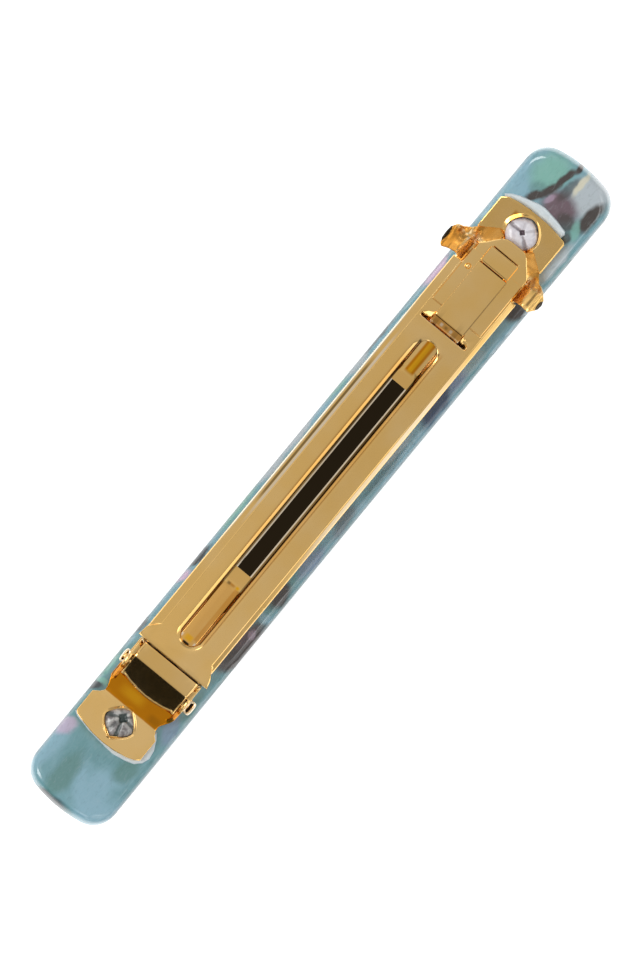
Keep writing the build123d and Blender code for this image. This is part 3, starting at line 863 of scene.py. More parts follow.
    def make_strip(self):
        """Both end plates and the strip between them."""
        rim = shifted(
            BASE_START, (0.1, 1.6), (0, 0), (0.1, -1.6), (0.4, -3.2), (0.75, -4.2), (1.1, -4.72),
            (3.95, -4.72), (4.4, -4.25), (4.9, -3.95), (5.5, -3.9), (7.1, -4.7), (12.2, -4.7), (14.3, -3.5),
        )
        rim += [(26.1, -3.5), (30.7, -4.4), (ARM_FOOT_X, -4.4), (35.7, -4.66)]
        rim += shifted(
            BASE_END, (-0.7, -4.66), (-0.4, -4.3), (-0.15, -2.8), (0, -1.4), (0, 1.2), (-0.15, 2.7),
            (-0.4, 3.9), (-0.95, 4.7),
        )
        rim += [(ARM_FOOT_X, 4.7), (ARM_FOOT_X, 4.4), (30.7, 4.4), (26.1, 3.5)]
        rim += shifted(
            BASE_START, (14.3, 3.5), (12.2, 4.34), (6.9, 4.34), (5.5, 3.75), (4.9, 3.7), (4.4, 4.1),
            (3.95, 4.8), (1.05, 4.8), (0.75, 4.5), (0.4, 3.2),
        )
        rounds = [
            {"centre": foot, "reach": reach, "power": power, "segments": 48}
            for _, _, foot, reach, power in self.holes
        ]
        mesh = flat_sheet(rim, rounds=rounds, soft=(0.16, 0.06))
        cut(mesh, (1, 0, 0), steps(BASE_START + 0.5, BASE_END - 0.5, 1.0))
        cut(mesh, (1, 0, 0), [x + away for x, _ in self.step for away in (-0.04, 0.04)])
        press(mesh, self.strip_height, kept=self.at_hole)
        for hole in self.holes:
            moves = [self.collar_ring(hole, *pair) for pair in zip(self.collar, self.collar[1:])]
            add_rings(mesh, open_rim(mesh, lambda place: self.at_hole(place, [hole])), moves)
        face_towards(mesh)
        return mesh

    def strip_height(self, x, y):
        return sheet_top(x) + (along(self.step, x) if self.step[0][0] < x < self.step[-1][0] else 0.0)

    def at_hole(self, place, holes=holes):
        return any((place.xy - Vector(foot)).length < reach + 0.05 for _, _, foot, reach, _ in holes)

    def collar_ring(self, hole, before, after):
        """Moves a ring of a collar on to the next share of the way between hole and foot."""
        centre, reach, foot, foot_reach, power = hole
        old = Vector(centre).lerp(Vector(foot), before[0])
        new = Vector(centre).lerp(Vector(foot), after[0])
        wide = reach + (foot_reach - reach) * after[0]
        return to_round(old, new, wide, lambda x, y: self.strip_height(x, y) + after[1], power)

    def make_arm(self, side):
        """One catch arm: folded up from the plate, up beside the nose and out to a finger tongue."""
        plan = self.arm_plans[side]
        mesh = flat_sheet(on_side(plan, side), soft=(0.18,))
        cut(mesh, (1, 0, 0), steps(31.0, 36.7, 0.35))
        cut(mesh, (0, side, 0), steps(1.7, 7.0, 0.2))
        bmesh.ops.remove_doubles(mesh, verts=mesh.verts, dist=0.05)
        press(mesh, lambda x, y: self.arm_height(x, abs(y), side), turn=0.08)
        foot = plan[0][1]
        low = open_rim(mesh, lambda place: abs(abs(place.y) - foot) < 0.01)
        add_rings(mesh, low, [lambda place: Vector((place.x, place.y, sheet_top(place.x) - 0.3))])
        face_towards(mesh)
        settle(mesh, [vert for vert in mesh.verts if vert.co.z > sheet_top(vert.co.x) - 0.2], 0.5, rounds=5)
        return mesh

    def arm_height(self, x, y, side):
        rise, plan = self.arm_rises[side], self.arm_plans[side]
        foot = plan[0][1]
        fold_x, fold_y = plan[self.fold_starts[side]]
        from_fold = self.fold_way[0] * (fold_x - x) + self.fold_way[1] * (fold_y - y)
        ramp = sheet_top(x) + self.fold_slope * clamp(from_fold, high=1.7)
        raised = 1 - (1 - ease(from_fold, -0.2, 2.1)) * (1 - ease(y, fold_y - 0.1, 6.5))
        wall = ease(y, foot - 0.05, rise[0][0] + 0.15)
        ramp += 0.01 * math.sin(y * 11) * ease(y, 4.6, 5.0)
        return ramp + (ARM_Z + along(rise, y) - ramp) * raised * wall

    def make_cheek(self, side):
        """The side wall that carries the lever's pin, with a wavy top."""
        hole = {"centre": (0, 0), "reach": self.pin_hole, "segments": 24}
        mesh = flat_sheet(on_side(self.cheek, side), rounds=[hole], soft=(0.1,))
        cut(mesh, (0, side, 0), steps(-3.1, 0.9, 0.3))
        stand_up(mesh, side=side)
        bmesh.ops.remove_doubles(mesh, verts=mesh.verts, dist=0.01)
        wall, rear_wall = self.cheek_walls[side], 3.75
        for vert in mesh.verts:
            out = wall - (wall - rear_wall) * ease(-vert.co.x, 2.2, 4.8)
            vert.co.y = side * (out - (0.05 if vert.is_boundary else 0.0))
        face_towards(mesh, (0, side, 0))
        move_to_hinge(mesh)
        return mesh

    def make_bail(self, side):
        """The loop pressed out of the cheek round the end of the pin."""
        inner, outer, slit_low, slit_high = self.bails[side]
        ring = (
            (-0.75, inner), (-0.95, inner + 0.2), (-0.95, outer - 0.25), (-0.72, outer), (0.72, outer),
            (0.95, outer - 0.25), (0.95, inner + 0.2), (0.75, inner),
        )
        slit = ((-0.6, slit_low), (-0.6, slit_high), (0.6, slit_high), (0.6, slit_low))
        mesh = flat_sheet(on_side(ring, side), on_side(slit, side))
        slit_edges = [edge for edge in mesh.edges if all(abs(vert.co.x) < 0.7 for vert in edge.verts)]
        face_towards(mesh)
        pull_up(mesh, self.bail_height)
        bmesh.ops.contextual_create(mesh, geom=slit_edges)
        bmesh.ops.recalc_face_normals(mesh, faces=mesh.faces)
        move_to_hinge(mesh, z=-self.bail_height / 2)
        return mesh


class BARRETTE_OT_lever(bpy.types.Operator):
    """The hinged lever with its slot, window, rails and bridge"""
    bl_idname = "barrette.lever"
    bl_label = "Lever"

    # Plate fold, outer flange edge and flange drop on each side, by distance from the middle line
    folds = {1: (3.55, 4.61, 0.85), -1: (4.13, 4.72, 0.46)}
    fold_bend = 0.08
    flange_foot = 1.35
    # The flange's slanting corner: its start ahead of the heel, its run, and its flare past the flange
    corner_start, corner_run, corner_flare = 0.9, 1.7, 0.5
    # The slot's middle line, its two ends, and each ring's distance from the opening and its depth
    slot_y = -0.08
    slot_ends = (SLOT_START_X + SLOT_HALF, SLOT_END_X - SLOT_HALF)
    slot_rings = (
        (0.95, 0.0), (0.64, 0.0), (0.56, 0.004), (0.44, 0.024), (0.3, 0.07), (0.15, 0.145), (0.0, 0.25),
    )
    rails = ((1.7, 3.32), (-3.84, -2.1))
    rail_rise = 0.2
    # The dimple's middle and reach, and the reach and rise of each ring inside it
    dimple = (30.87, 2.5)
    dimple_reach = 0.45
    dimple_rings = ((0.38, 0.0), (0.33, -0.07), (0.26, -0.1), (0.2, 0.0), (0.1, 0.03))
    # The tabs beside the window, bent down towards the climbing strap: how they slope, and for each
    # where it lies in x and y, a point on its fold and the places of the cuts along that
    tab_way = (0.886, 0.464)
    tab_slope = 0.33
    tabs = (
        ((23.2, 24.4), (1.8, 3.3), (24.25, 2.1), (22.43, 22.49)),
        ((23.2, 24.1), (-3.5, -2.3), (24.0, -2.6), (20.03, 20.09)),
    )
    # Place of each ear, and of the middle of each pin, from the middle line
    pins = {1: (3.64, 4.0), -1: (-3.8, -4.45)}
    pin_radius = 0.55
    # Painted light and shade on the lever: amber shade along the slot's lips, dark lines of shade in the
    # slot's gaps, at the heel and along the folds, and cream highlights along the flanges and at the
    # window's edge.
    painted_shading = (
        ((-22.5, -1.95), (20.2, -1.52), (1.0, 0.12), "painted_amber_shade", 0.4),
        ((-10.0, 1.45), (16.5, 1.85), (4.0, 0.1), "painted_amber_shade", 0.35),
        ((-23.2, 1.14), (20.6, 1.36), (0.3, 0.05), "painted_dark_shade", 0.8),
        ((-23.2, -1.54), (20.6, -1.32), (0.3, 0.05), "painted_dark_shade", 0.8),
        ((-4.0, 4.05), (13.5, 4.22), (3.0, 0.1), "painted_dark_shade", 0.7),
        ((-5.0, 3.72), (16.0, 3.92), (5.0, 0.1), "cream_streaks_and_painted_highlights", 0.75),
        ((-8.0, 4.45), (20.0, 4.62), (6.0, 0.06), "cream_streaks_and_painted_highlights", 0.8),
        ((-3.0, -4.62), (15.0, -4.3), (8.0, 0.08), "cream_streaks_and_painted_highlights", 0.6),
        ((-27.05, -4.4), (-26.88, 3.9), (0.04, 0.1), "painted_dark_shade", 1.0),
        ((22.9, -3.2), (23.02, 3.0), (0.03, 0.1), "cream_streaks_and_painted_highlights", 0.9),
        ((14.0, -4.22), (22.0, -4.1), (6.0, 0.05), "painted_dark_shade", 0.5),
    )

    def execute(self, context):
        metal = context.scene.barrette_metal
        plating = plated_gold("gold plating on the lever", metal, metal.roughness, self.painted_shading)
        mesh = joined(self.make_plate(), self.make_bridge(), self.make_tongue())
        piece = finish_piece(mesh, "slotted_lever", "lever_arm", "gold_plate", plating, "lever")
        thicken(piece, metal.sheet)
        pins = joined(self.make_pin(1), self.make_pin(-1))
        finish_piece(pins, "hinge_ears_and_pins", "lever_arm", "gold_plate", plating)
        return {"FINISHED"}

    def make_plate(self):
        upper, lower = self.folds[1][1], self.folds[-1][1]
        rim = shifted(HEEL_X, (0, -5.4), (0, 4.85), (0.9, 4.75), (1.9, upper))
        rim += shifted(FLANGE_END_X, (0, upper), (0, 3.42))
        rim += shifted(TOE_X, (-0.08, 3.42), (-0.08, 3.2), (0.9, 3.2), (1.5, 2.6), (2.2, 2.03), (2.9, 1.44))
        rim += shifted(
            NOSE_X, (-0.1, 0.9), (0, 0.4), (0, -1.3), (-0.1, -1.75), (-0.4, -2.25), (-1.0, -2.75),
            (-1.7, -3.4), (-2.4, -3.95),
        )
        rim += [(TOE_X - 0.08, -3.95), (FLANGE_END_X, -3.95), (FLANGE_END_X, -lower)]
        rim += shifted(HEEL_X, (1.7, -lower), (1.35, -4.93), (0.8, -5.2))
        window = (
            (WINDOW_X, 3.0), (WINDOW_X + 0.1, 3.2), (23.3, 3.2), (23.25, 2.75), (23.5, 1.98),
            (CLIMB_END_X, 1.95), (CLIMB_END_X, -2.35), (23.4, -2.4), (23.3, -2.8), (23.45, -3.1),
            (23.35, -3.38), (WINDOW_X + 0.1, -3.45), (WINDOW_X, -3.3),
        )
        start, end = BRIDGE_X - 0.2, BRIDGE_END_X + 0.2
        bridge_gap = ((start, 1.6), (end, 1.6), (end, -2.0), (start, -2.0))
        middle = (SLOT_START_X + SLOT_END_X) / 2
        rounds = (
            {
                "centre": (middle, self.slot_y), "reach": SLOT_HALF + self.slot_rings[0][0],
                "stretch": self.slot_ends[1] - middle, "segments": 64,
            },
            {"centre": self.dimple, "reach": self.dimple_reach, "segments": 16},
        )
        mesh = flat_sheet(rim, window, bridge_gap, rounds=rounds, soft=(0.15, 0.06))
        cut(mesh, (1, 0, 0), steps(HEEL_X + 0.6, NOSE_X - 0.4, 1.0))
        cut(mesh, (1, 0, 0), (-0.25, -0.1, 0.1, 0.25), RAIL_START_X)
        cut(mesh, (1, 0, 0), (-0.3, -0.08, -0.04, 0.12), TOE_X)
        for side, (fold, outer, _) in self.folds.items():
            cut(mesh, (0, side, 0), (-0.24, -0.08, 0.0, 0.08, 0.24), fold)
            across = Vector((outer + self.corner_flare - fold, side * self.corner_run, 0)).normalized()
            corner = Vector((HEEL_X + self.corner_start + self.corner_run, side * fold, 0))
            cut(mesh, across, (-0.2, -0.03, 0.03, 0.2), corner.dot(across))
        for low, high in self.rails:
            cut(mesh, (0, 1, 0), (-0.3, -0.12, 0.0), low)
            cut(mesh, (0, 1, 0), (0.0, 0.08), high)
        for *_, places in self.tabs:
            cut(mesh, (*self.tab_way, 0), places)
        press(mesh, self.plate_height, kept=lambda place: self.at_slot(place) or self.at_dimple(place))
        for side, (_, outer, drop) in self.folds.items():
            wall = open_rim(
                mesh, lambda place: abs(place.y - side * outer) < 0.02 and place.x < FLANGE_END_X + 0.1,
            )
            add_rings(mesh, wall, [self.flange_ring(side, down) for down in (0.1, self.flange_foot - drop)])
        slot, eye = open_rim(mesh, self.at_slot), open_rim(mesh, self.at_dimple)
        add_rings(mesh, slot, [self.slot_ring(*ring) for ring in self.slot_rings[1:]])
        eye = add_rings(mesh, eye, [self.dimple_ring(*ring) for ring in self.dimple_rings])
        bmesh.ops.contextual_create(mesh, geom=eye)
        face_towards(mesh)
        return mesh

    def slot_axis(self, place):
        """The nearest point of the slot's middle line."""
        return Vector((clamp(place.x, *self.slot_ends), self.slot_y))

    def at_slot(self, place):
        return (place.xy - self.slot_axis(place)).length < SLOT_HALF + 1.0

    def at_dimple(self, place):
        return (place.xy - Vector(self.dimple)).length < self.dimple_reach + 0.02

    def slot_ring(self, away, depth):
        """Moves a ring of the slot to a distance from the opening, and down by its depth."""
        def height(x, y):
            return self.plate_height(x, y) - depth * (1 - 0.8 * ease(x, 19.2, 20.8))

        def move(place):
            axis = self.slot_axis(place)
            return to_round(axis, axis, SLOT_HALF + away, height)(place)

        return move

    def flange_ring(self, side, down):
        """Moves the flange's edge straight down, less so near its two ends."""
        def move(place):
            started = ease(place.x, HEEL_X + 1.5, HEEL_X + 4)
            going_on = 1 - ease(place.x, FLANGE_END_X - 1.2, FLANGE_END_X)
            return place + Vector((0, side * 0.02, -down * (0.25 + 0.75 * started * going_on)))

        return move

    def dimple_ring(self, reach, rise):
        middle = Vector(self.dimple)
        return to_round(middle, middle, reach, lambda x, y: self.plate_height(x, y) + rise)

    def plate_height(self, x, y):
        """The arched plate, slightly crowned, with its flange folds, rails and tabs."""
        z = lever_top(x) - 0.04 * (min(abs(y), 3.5) / 3.5) ** 2
        fold, outer, drop = self.folds[1 if y > 0 else -1]
        flare_end = outer + self.corner_flare
        past_corner = x - HEEL_X - self.corner_start - (
            self.corner_run * clamp((flare_end - abs(y)) / (flare_end - fold))
        )
        slope = drop / (outer - fold) * ease(past_corner, -0.04, 0.04)
        z -= bent_down(abs(y) - fold, slope, self.fold_bend)
        raised = ease(x, RAIL_START_X - 0.1, RAIL_START_X + 0.1) * (1 - ease(x, TOE_X - 0.08, TOE_X - 0.04))
        for low, high in self.rails:
            z += self.rail_rise * raised * ease(y, low - 0.12, low) * (1 - ease(y, high, high + 0.08))
        for (x_low, x_high), (y_low, y_high), (fold_x, fold_y), _ in self.tabs:
            if x_low < x < x_high and y_low < y < y_high:
                from_fold = self.tab_way[0] * (fold_x - x) + self.tab_way[1] * (fold_y - y)
                z -= self.tab_slope * clamp(from_fold, high=0.8)
        return z

    def make_bridge(self):
        """The lanced strip that holds down the tension bar."""
        plan = ((BRIDGE_X, -2.5), (BRIDGE_X, 2.2), (BRIDGE_END_X, 2.2), (BRIDGE_END_X, -2.5))
        mesh = flat_sheet(plan, soft=(0.14, 0.05))
        cut(mesh, (0, 1, 0), (-2.3, -2.22, -2.16, -2.08, -1.8, 1.5, 1.78, 1.86, 1.92, 2.0))

        def height(x, y):
            """Sunk at both ends, and stepped up over the tension bar between them."""
            return lever_top(x) - 0.12 + 0.6 * ease(y, -2.24, -2.12) * (1 - ease(y, 1.82, 1.94))

        press(mesh, height)
        face_towards(mesh)
        return mesh

    def make_tongue(self):
        """The lever's tail, stepped down behind the heel and bent down over the hinge line."""
        half, middle, rear, lip, hollow = 3.99, -0.34, -2.35, 0.35, 0.7
        plan = [(3.4, -half), (3.4, half), (rear + 0.7, half), (rear + 0.45, half - 0.15)]
        plan += [(rear + hollow * (y / half) ** 2, y) for y in (3.4, 2.5, 1.25, 0.0, -1.25, -2.5, -3.4)]
        plan += [(rear + 0.45, 0.15 - half), (rear + 0.7, -half)]
        mesh = flat_sheet(plan, soft=(lip, 0.12))
        knee, bend, fall = 0.78, 0.1, math.tan(math.radians(28))
        cut(mesh, (1, 0, 0), (-0.3, -0.1, 0.0, 0.1, 0.3), knee)
        cut(mesh, (1, 0, 0), (2.6, 2.7, 2.82, 3.0))
        cut(mesh, (0, 1, 0), steps(-3.0, 3.0, 0.75))

        def height(x, y):
            x = max(x, rear + lip + hollow * (y / half) ** 2)
            return 1.02 + 0.02 * x - bent_down(knee - x, fall, bend) - 0.5 * ease(x, 2.68, 2.84)

        press(mesh, height, turn=0.1)
        face_towards(mesh)
        move_to_hinge(mesh, y=middle)
        return mesh

    def make_pin(self, side):
        """One ear of the lever and the pin that turns in the cheek."""
        outline = (
            (-0.9, -0.5), (-0.6, -0.15), (0.5, 0.4), (3.3, 0.45), (3.3, -0.1), (1.2, -0.8), (0.0, -1.2),
            (-0.8, -0.9),
        )
        ear_y, pin_y = self.pins[side]
        ear = flat_sheet(outline)
        pull_up(ear, 0.5)
        stand_up(ear, ear_y)
        pin = bmesh.new()
        radius = self.pin_radius
        bmesh.ops.create_cone(pin, cap_ends=True, segments=32, radius1=radius, radius2=radius, depth=1.3)
        bmesh.ops.bevel(
            pin, geom=[edge for edge in pin.edges if edge.calc_face_angle() > 1], offset=0.12, segments=2,
            affect="EDGES", profile=0.5, material=-1,
        )
        stand_up(pin, pin_y)
        mesh = joined(ear, pin)
        bmesh.ops.recalc_face_normals(mesh, faces=mesh.faces)
        move_to_hinge(mesh)
        return mesh


class BARRETTE_OT_tension_bar(bpy.types.Operator):
    """The spring bar in the lever's slot"""
    bl_idname = "barrette.tension_bar"
    bl_label = "Tension bar"

    middle_y = -0.05
    plan = (
        (-26.1, -1.27), (-26.1, 1.17), (-19.0, 1.17), (-18.2, 1.5), (17.2, 1.5), (18.0, 1.17), (22.8, 1.17),
        (23.1, 1.9), (34.5, 1.9), (34.5, -2.3), (23.1, -2.3), (22.8, -1.27), (18.0, -1.27), (17.2, -1.6),
        (-18.2, -1.6), (-19.0, -1.27),
    )
    # Height of the top face above the lever's plate, along the bar
    line = (
        (-26.1, -0.62), (-24.3, -0.62), (-15.9, -1.22), (-15.3, -1.27), (16.4, -1.27), (17.0, -1.2),
        (21.2, -0.72), (22.9, -0.5), (23.0, -0.42), (23.1, -0.32), (24.1, 0.43), (24.25, 0.46),
        (32.12, 0.46), (32.32, -0.02), (34.5, -0.02),
    )
    # The sunk panel's start, end and half width
    panel = (-13.4, 15.0, 0.96)
    cuts_across = (
        *steps(-26.0, 34.0, 1.0), -16.3, -16.1, -15.9, -15.7, -15.5, -15.3, -13.5, -13.44, -13.36, -13.3,
        14.9, 14.96, 15.04, 15.1, *steps(16.3, 17.7, 0.2),
        22.9, 23.0, 23.1, 24.1, 24.25, 24.4, 32.0, 32.12, 32.32, 32.45,
    )
    cuts_along = (-1.02, -0.9, -0.62, -0.3, 0.0, 0.3, 0.62, 0.9, 1.02)
    roughness = 0.08
    # Painted light and shade on the spring: amber shade on the tail, at the step, on the ridge and on the
    # climb; warm highlights on the ridge's middle line, at the slot's end and at the step; cream highlights
    # at the slot's end, round the panel, on the climb and at the window; dark shade at the slot's end, at
    # the step, on the climb, at the window, along the strap's edge and in the gaps beside the lips; and a
    # dark painted reflection filling the sunk panel.
    painted_shading = (
        ((-27.0, -1.4), (-15.8, 1.3), (0.2, 0.1), "painted_amber_shade", 0.35),
        ((-23.2, -1.4), (-15.8, -0.66), (0.3, 0.2), "painted_amber_shade", 0.5),
        ((-15.4, -1.4), (16.4, 1.3), (0.2, 0.1), "painted_amber_shade", 0.12),
        ((17.1, -0.55), (21.4, 0.43), (0.5, 0.25), "painted_amber_shade", 1.0),
        ((17.2, -0.2), (21.0, 0.1), (0.6, 0.25), "painted_warm_highlight", 0.8),
        ((-23.7, -0.2), (-23.3, 0.3), (0.35, 0.5), "painted_warm_highlight", 0.9),
        ((-24.25, -0.3), (-24.15, 0.2), (0.2, 0.35), "painted_dark_shade", 1.3),
        ((-23.65, 0.95), (-23.6, 1.0), (0.35, 0.25), "cream_streaks_and_painted_highlights", 0.9),
        ((-23.8, -1.05), (-23.75, -1.0), (0.3, 0.22), "cream_streaks_and_painted_highlights", 0.9),
        ((-15.5, -0.75), (-15.45, -0.7), (0.3, 0.35), "painted_warm_highlight", 1.3),
        ((-15.55, -0.1), (-15.5, 0.2), (0.25, 0.5), "painted_amber_shade", 0.7),
        ((-15.6, 0.45), (-15.5, 0.55), (0.25, 0.3), "painted_dark_shade", 0.6),
        ((-13.45, -1.15), (15.05, 1.08), (0.03, 0.03), "cream_streaks_and_painted_highlights", 0.85),
        ((-13.45, -0.98), (15.05, 0.88), (0.03, 0.03), "painted_dark_shade", 1.35),
        ((23.4, -2.3), (24.1, 1.9), (0.15, 0.1), "painted_amber_shade", 0.6),
        ((23.52, 0.44), (23.68, 0.6), (0.22, 0.2), "cream_streaks_and_painted_highlights", 0.7),
        ((23.52, -0.93), (23.68, -0.77), (0.22, 0.2), "cream_streaks_and_painted_highlights", 0.6),
        ((23.55, -0.2), (23.65, -0.1), (0.25, 0.3), "painted_dark_shade", 0.5),
        ((22.5, -2.3), (23.25, 1.9), (0.1, 0.1), "cream_streaks_and_painted_highlights", 0.7),
        ((22.8, -2.3), (23.02, 1.9), (0.04, 0.1), "painted_dark_shade", 0.6),
        ((24.3, -2.4), (32.1, -2.2), (0.1, 0.04), "painted_dark_shade", 0.7),
        ((-23.4, 1.08), (20.8, 1.6), (0.3, 0.05), "painted_dark_shade", 0.65),
        ((4.0, 1.08), (20.8, 1.6), (5.0, 0.05), "painted_dark_shade", 0.6),
        ((-23.4, -1.7), (20.8, -1.2), (0.3, 0.05), "painted_dark_shade", 0.65),
        ((4.0, -1.7), (20.8, -1.2), (5.0, 0.05), "painted_dark_shade", 0.6),
    )

    def execute(self, context):
        metal = context.scene.barrette_metal
        plating = plated_gold("gold plating on the spring", metal, self.roughness, self.painted_shading)
        mesh = flat_sheet(self.plan, soft=(0.13, 0.05))
        cut(mesh, (1, 0, 0), self.cuts_across)
        cut(mesh, (0, 1, 0), self.cuts_along, self.middle_y)
        press(mesh, self.height)
        face_towards(mesh)
        piece = finish_piece(mesh, "spring_bar", "lever_arm", "spring_gold", plating, "tension_bar")
        thicken(piece, metal.spring_sheet)
        return {"FINISHED"}

    def height(self, x, y):
        """The bar's line, with the form pressed across it at each part of its length."""
        z = lever_top(x) + along(self.line, x)
        off = abs(y - self.middle_y)
        # The tail, crowned up to the step
        z -= (1 - ease(x, -16.1, -15.5)) * max(off - 0.62, 0.0) * 0.12
        # The nick in the step
        z -= 0.05 * ease(x, -16.1, -15.9) * (1 - ease(x, -15.7, -15.5)) * (1 - ease(off, 0.5, 0.7))
        # The hipped roof that starts past the panel and dies out towards the window
        hip = max(x - 16.3 - 1.2 * (1 - off / 1.1), 0.0) * 1.2
        z -= 0.11 * min(off, hip) * (1 - ease(x, 21.6, 22.6))
        start, end, half = self.panel
        if start < x < end and off < half:
            z -= 0.03
        return z


class BARRETTE_OT_fixings(bpy.types.Operator):
    """The pressed plugs in the fixing holes and the cement beads"""
    bl_idname = "barrette.fixings"
    bl_label = "Plugs and cement"

    # Each plug: its middle, reach and pinch, its pit's middle and reach, its creases' turns and strengths
    plugs = {
        "hinge": (
            (-36.53, -0.08), 1.97, 1.4, (-35.68, -0.05), 0.78,
            ((112, 0.8), (165, 0.5), (196, 0.9), (262, 0.8), (310, 0.5), (50, 0.5)),
        ),
        "catch": (
            (37.82, 0.0), 2.03, 1.75, (37.92, 0.06), 0.45,
            ((88, 0.7), (229, 0.65), (318, 0.3), (15, 0.15)),
        ),
    }
    # A plug's rings, as shares of its reach, from its foot to its middle
    plug_rings = (0.99, 0.95, 0.9, 0.82, 0.73, 0.63, 0.53, 0.44, 0.35, 0.27, 0.19, 0.12, 0.05)
    # Pale and dusky tone of each plug, and the deep tone of the painted shade in its pit and creases
    tones = {
        "hinge": ((0.5, 0.49, 0.46), (0.15, 0.13, 0.13), (0.015, 0.03, 0.026)),
        "catch": ((0.74, 0.72, 0.76), (0.6, 0.57, 0.61), (0.11, 0.075, 0.09)),
    }
    # Outline of each bead: round its open side, then back under the end plate
    beads = {
        "hinge": (
            (-38.6, 4.85), (-38.95, 4.3), (-39.4, 2.2), (-39.6, 0.3), (-39.78, -1.7), (-39.5, -3.3),
            (-39.1, -4.5), (-38.4, -5.2), (-37.5, -5.5), (-36.4, -5.35), (-35.2, -4.7), (-34.4, -4.1),
            (-35.1, -3.9), (-38.0, -4.3), (-38.6, -3.0), (-38.8, 0.0), (-38.6, 3.0), (-38.2, 4.5),
        ),
        "catch": (
            (40.2, 4.6), (40.75, 3.95), (41.2, 3.0), (41.55, 1.7), (41.85, 0.6), (41.92, -0.2),
            (41.78, -1.3), (41.55, -2.6), (41.25, -3.75), (40.9, -4.0), (39.8, -3.7), (40.1, -2.6),
            (40.2, 0.0), (40.1, 2.6), (39.7, 3.9),
        ),
    }

    def execute(self, context):
        cement = clouded_cement()
        for end in ("hinge", "catch"):
            node = f"plug_{end}_end"
            plug = self.make_plug(*self.plugs[end], top=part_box(node)[1][2] / MM)
            pearl = self.pressed_pearl(end, *self.plugs[end][3:])
            finish_piece(plug, f"pressed_plug_{end}", "base", "plug_acetate", pearl, node, crease=60)
            bead = self.make_bead(self.beads[end])
            finish_piece(bead, f"cement_bead_{end}", "base", "cement", cement, f"cement_{end}_end")
        return {"FINISHED"}

    def make_plug(self, middle, reach, power, pit, pit_reach, creases, top):
        """A stake melted over in its hole: lobes between creases, round a pit."""
        mesh = bmesh.new()
        loop = round_loop(mesh, middle, reach + 0.05, power, segments=72)
        centre = Vector(middle)
        low = sheet_top(middle[0]) - 0.25

        def ring(share):
            def height(x, y):
                return low + (top - low) * self.lobes((x, y), share, pit, pit_reach, creases)

            return to_round(centre, centre, reach * share, height, power)

        for vert in mesh.verts:
            vert.co.z = low
        loop = add_rings(mesh, loop, [ring(share) for share in self.plug_rings])
        bmesh.ops.contextual_create(mesh, geom=loop)
        face_towards(mesh)
        settle(mesh, [vert for vert in mesh.verts if not vert.is_boundary], 0.4)
        return mesh

    @staticmethod
    def lobes(place, share, pit, pit_reach, creases):
        """How high the plug stands at a place, from 0 at its foot to 1."""
        offset = Vector(place) - Vector(pit)
        dome = (1 - share ** 6) ** 0.5 * (0.8 + 0.2 * (1 - share))
        hole = 1 - ease(pinched(*offset, 0.8), pit_reach * 0.45, pit_reach * 1.25)
        turn = math.degrees(math.atan2(offset.y, offset.x))
        valley = 0.0
        for crease, strength in creases:
            apart = math.radians((turn - crease + 180) % 360 - 180)
            across = offset.length * math.sin(min(abs(apart), math.pi / 2))
            wide = 0.12 + 0.08 * offset.length
            valley = max(valley, math.exp(-(across / wide) ** 2) * ease(offset.length, 0.1, 0.5) * strength)
        return max(dome * (1 - 0.3 * valley) - 0.45 * hole, 0.0)

    def pressed_pearl(self, end, pit, pit_reach, creases):
        """Pale pearl acetate, with painted shade in the pit and along the creases."""
        material, paint = new_material(f"pressed pearl {end}")
        x, y, _ = paint.axes(paint.place((pit[0] * MM, pit[1] * MM, 0), scale=(MM, MM, MM)))
        wisp = paint.noise(paint.place(), 700.0, 3.0, 0.55, 1.2)
        pale, dusk, painted_shade_tone = self.tones[end]
        colour = paint.mix(wisp.between(0.35, 0.65), dusk, pale)
        # Painted shade along each crease
        for crease, strength in creases:
            turn = math.radians(crease)
            ahead = x * math.cos(turn) + y * math.sin(turn)
            across = abs(y * math.cos(turn) - x * math.sin(turn)) + (wisp - 0.5) * 0.35 - ahead * 0.08
            line = (1 - across.between(0.0, 0.22)) * ahead.between(0.1, 0.6)
            colour = paint.mix(line * strength, colour, painted_shade_tone)
        # Painted shade in the pit
        hole = abs(x) + abs(y) + (wisp - 0.5) * 0.3
        colour = paint.mix(1 - hole.between(pit_reach * 0.75, pit_reach * 1.15), colour, painted_shade_tone)
        paint.surface({"Base Color": colour, "Roughness": 0.3, "Coat Weight": 0.5})
        return material

    def make_bead(self, outline):
        """Cement squeezed out from under an end plate."""
        mesh = flat_sheet(outline, soft=(0.3, 0.12))
        cut(mesh, (0, 1, 0), steps(-5.2, 4.8, 0.5))
        press(mesh, lambda x, y: bar_back(x) + 0.3 + 0.04 * math.sin(4.1 * y + x), turn=0.36)
        face_towards(mesh)
        return mesh


STEPS = (
    BARRETTE_OT_stage,
    BARRETTE_OT_bar,
    BARRETTE_OT_clip_base,
    BARRETTE_OT_lever,
    BARRETTE_OT_tension_bar,
    BARRETTE_OT_fixings,
)


class BARRETTE_PT_panel(bpy.types.Panel):
    """Lists the steps that dress the barrette"""
    bl_label = "Barrette"
    bl_space_type = "VIEW_3D"
    bl_region_type = "UI"
    bl_category = "Barrette"

    def draw(self, context):
        for step in STEPS:
            self.layout.operator(step.bl_idname)


GROUPS = {
    "barrette_camera": BarretteCamera,
    "barrette_metal": BarretteMetal,
    "barrette_acetate": BarretteAcetate,
}


def register():
    for item in (*GROUPS.values(), *STEPS, BARRETTE_PT_panel):
        bpy.utils.register_class(item)
    for name, group in GROUPS.items():
        setattr(bpy.types.Scene, name, bpy.props.PointerProperty(type=group))


def unregister():
    for name in GROUPS:
        delattr(bpy.types.Scene, name)
    for item in reversed((*GROUPS.values(), *STEPS, BARRETTE_PT_panel)):
        bpy.utils.unregister_class(item)


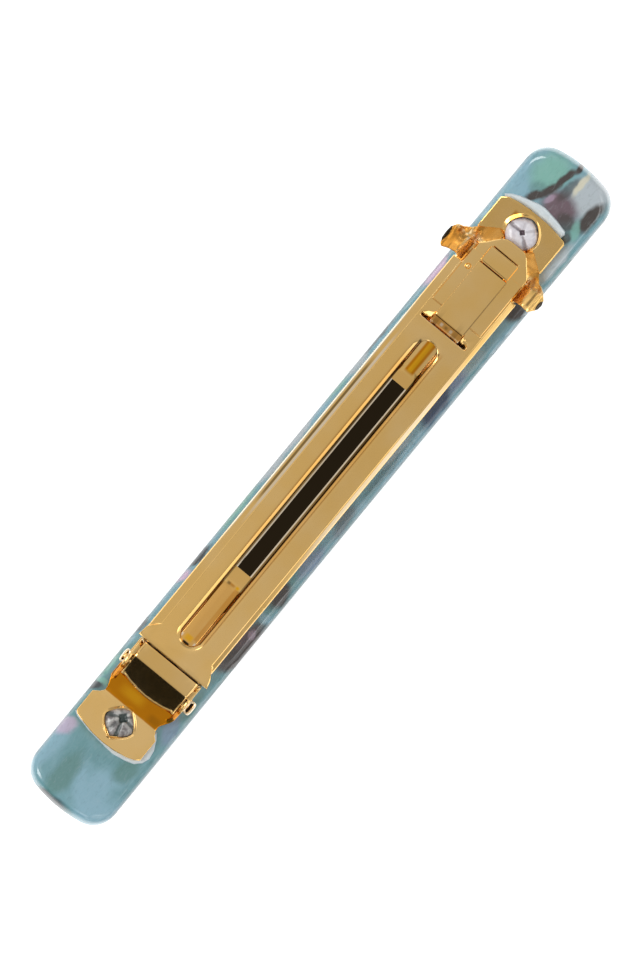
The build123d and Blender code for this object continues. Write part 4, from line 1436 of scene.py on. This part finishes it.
def main():
    register()
    for step in STEPS:
        group, name = step.bl_idname.split(".")
        getattr(getattr(bpy.ops, group), name)()


if __name__ == "__main__":
    main()
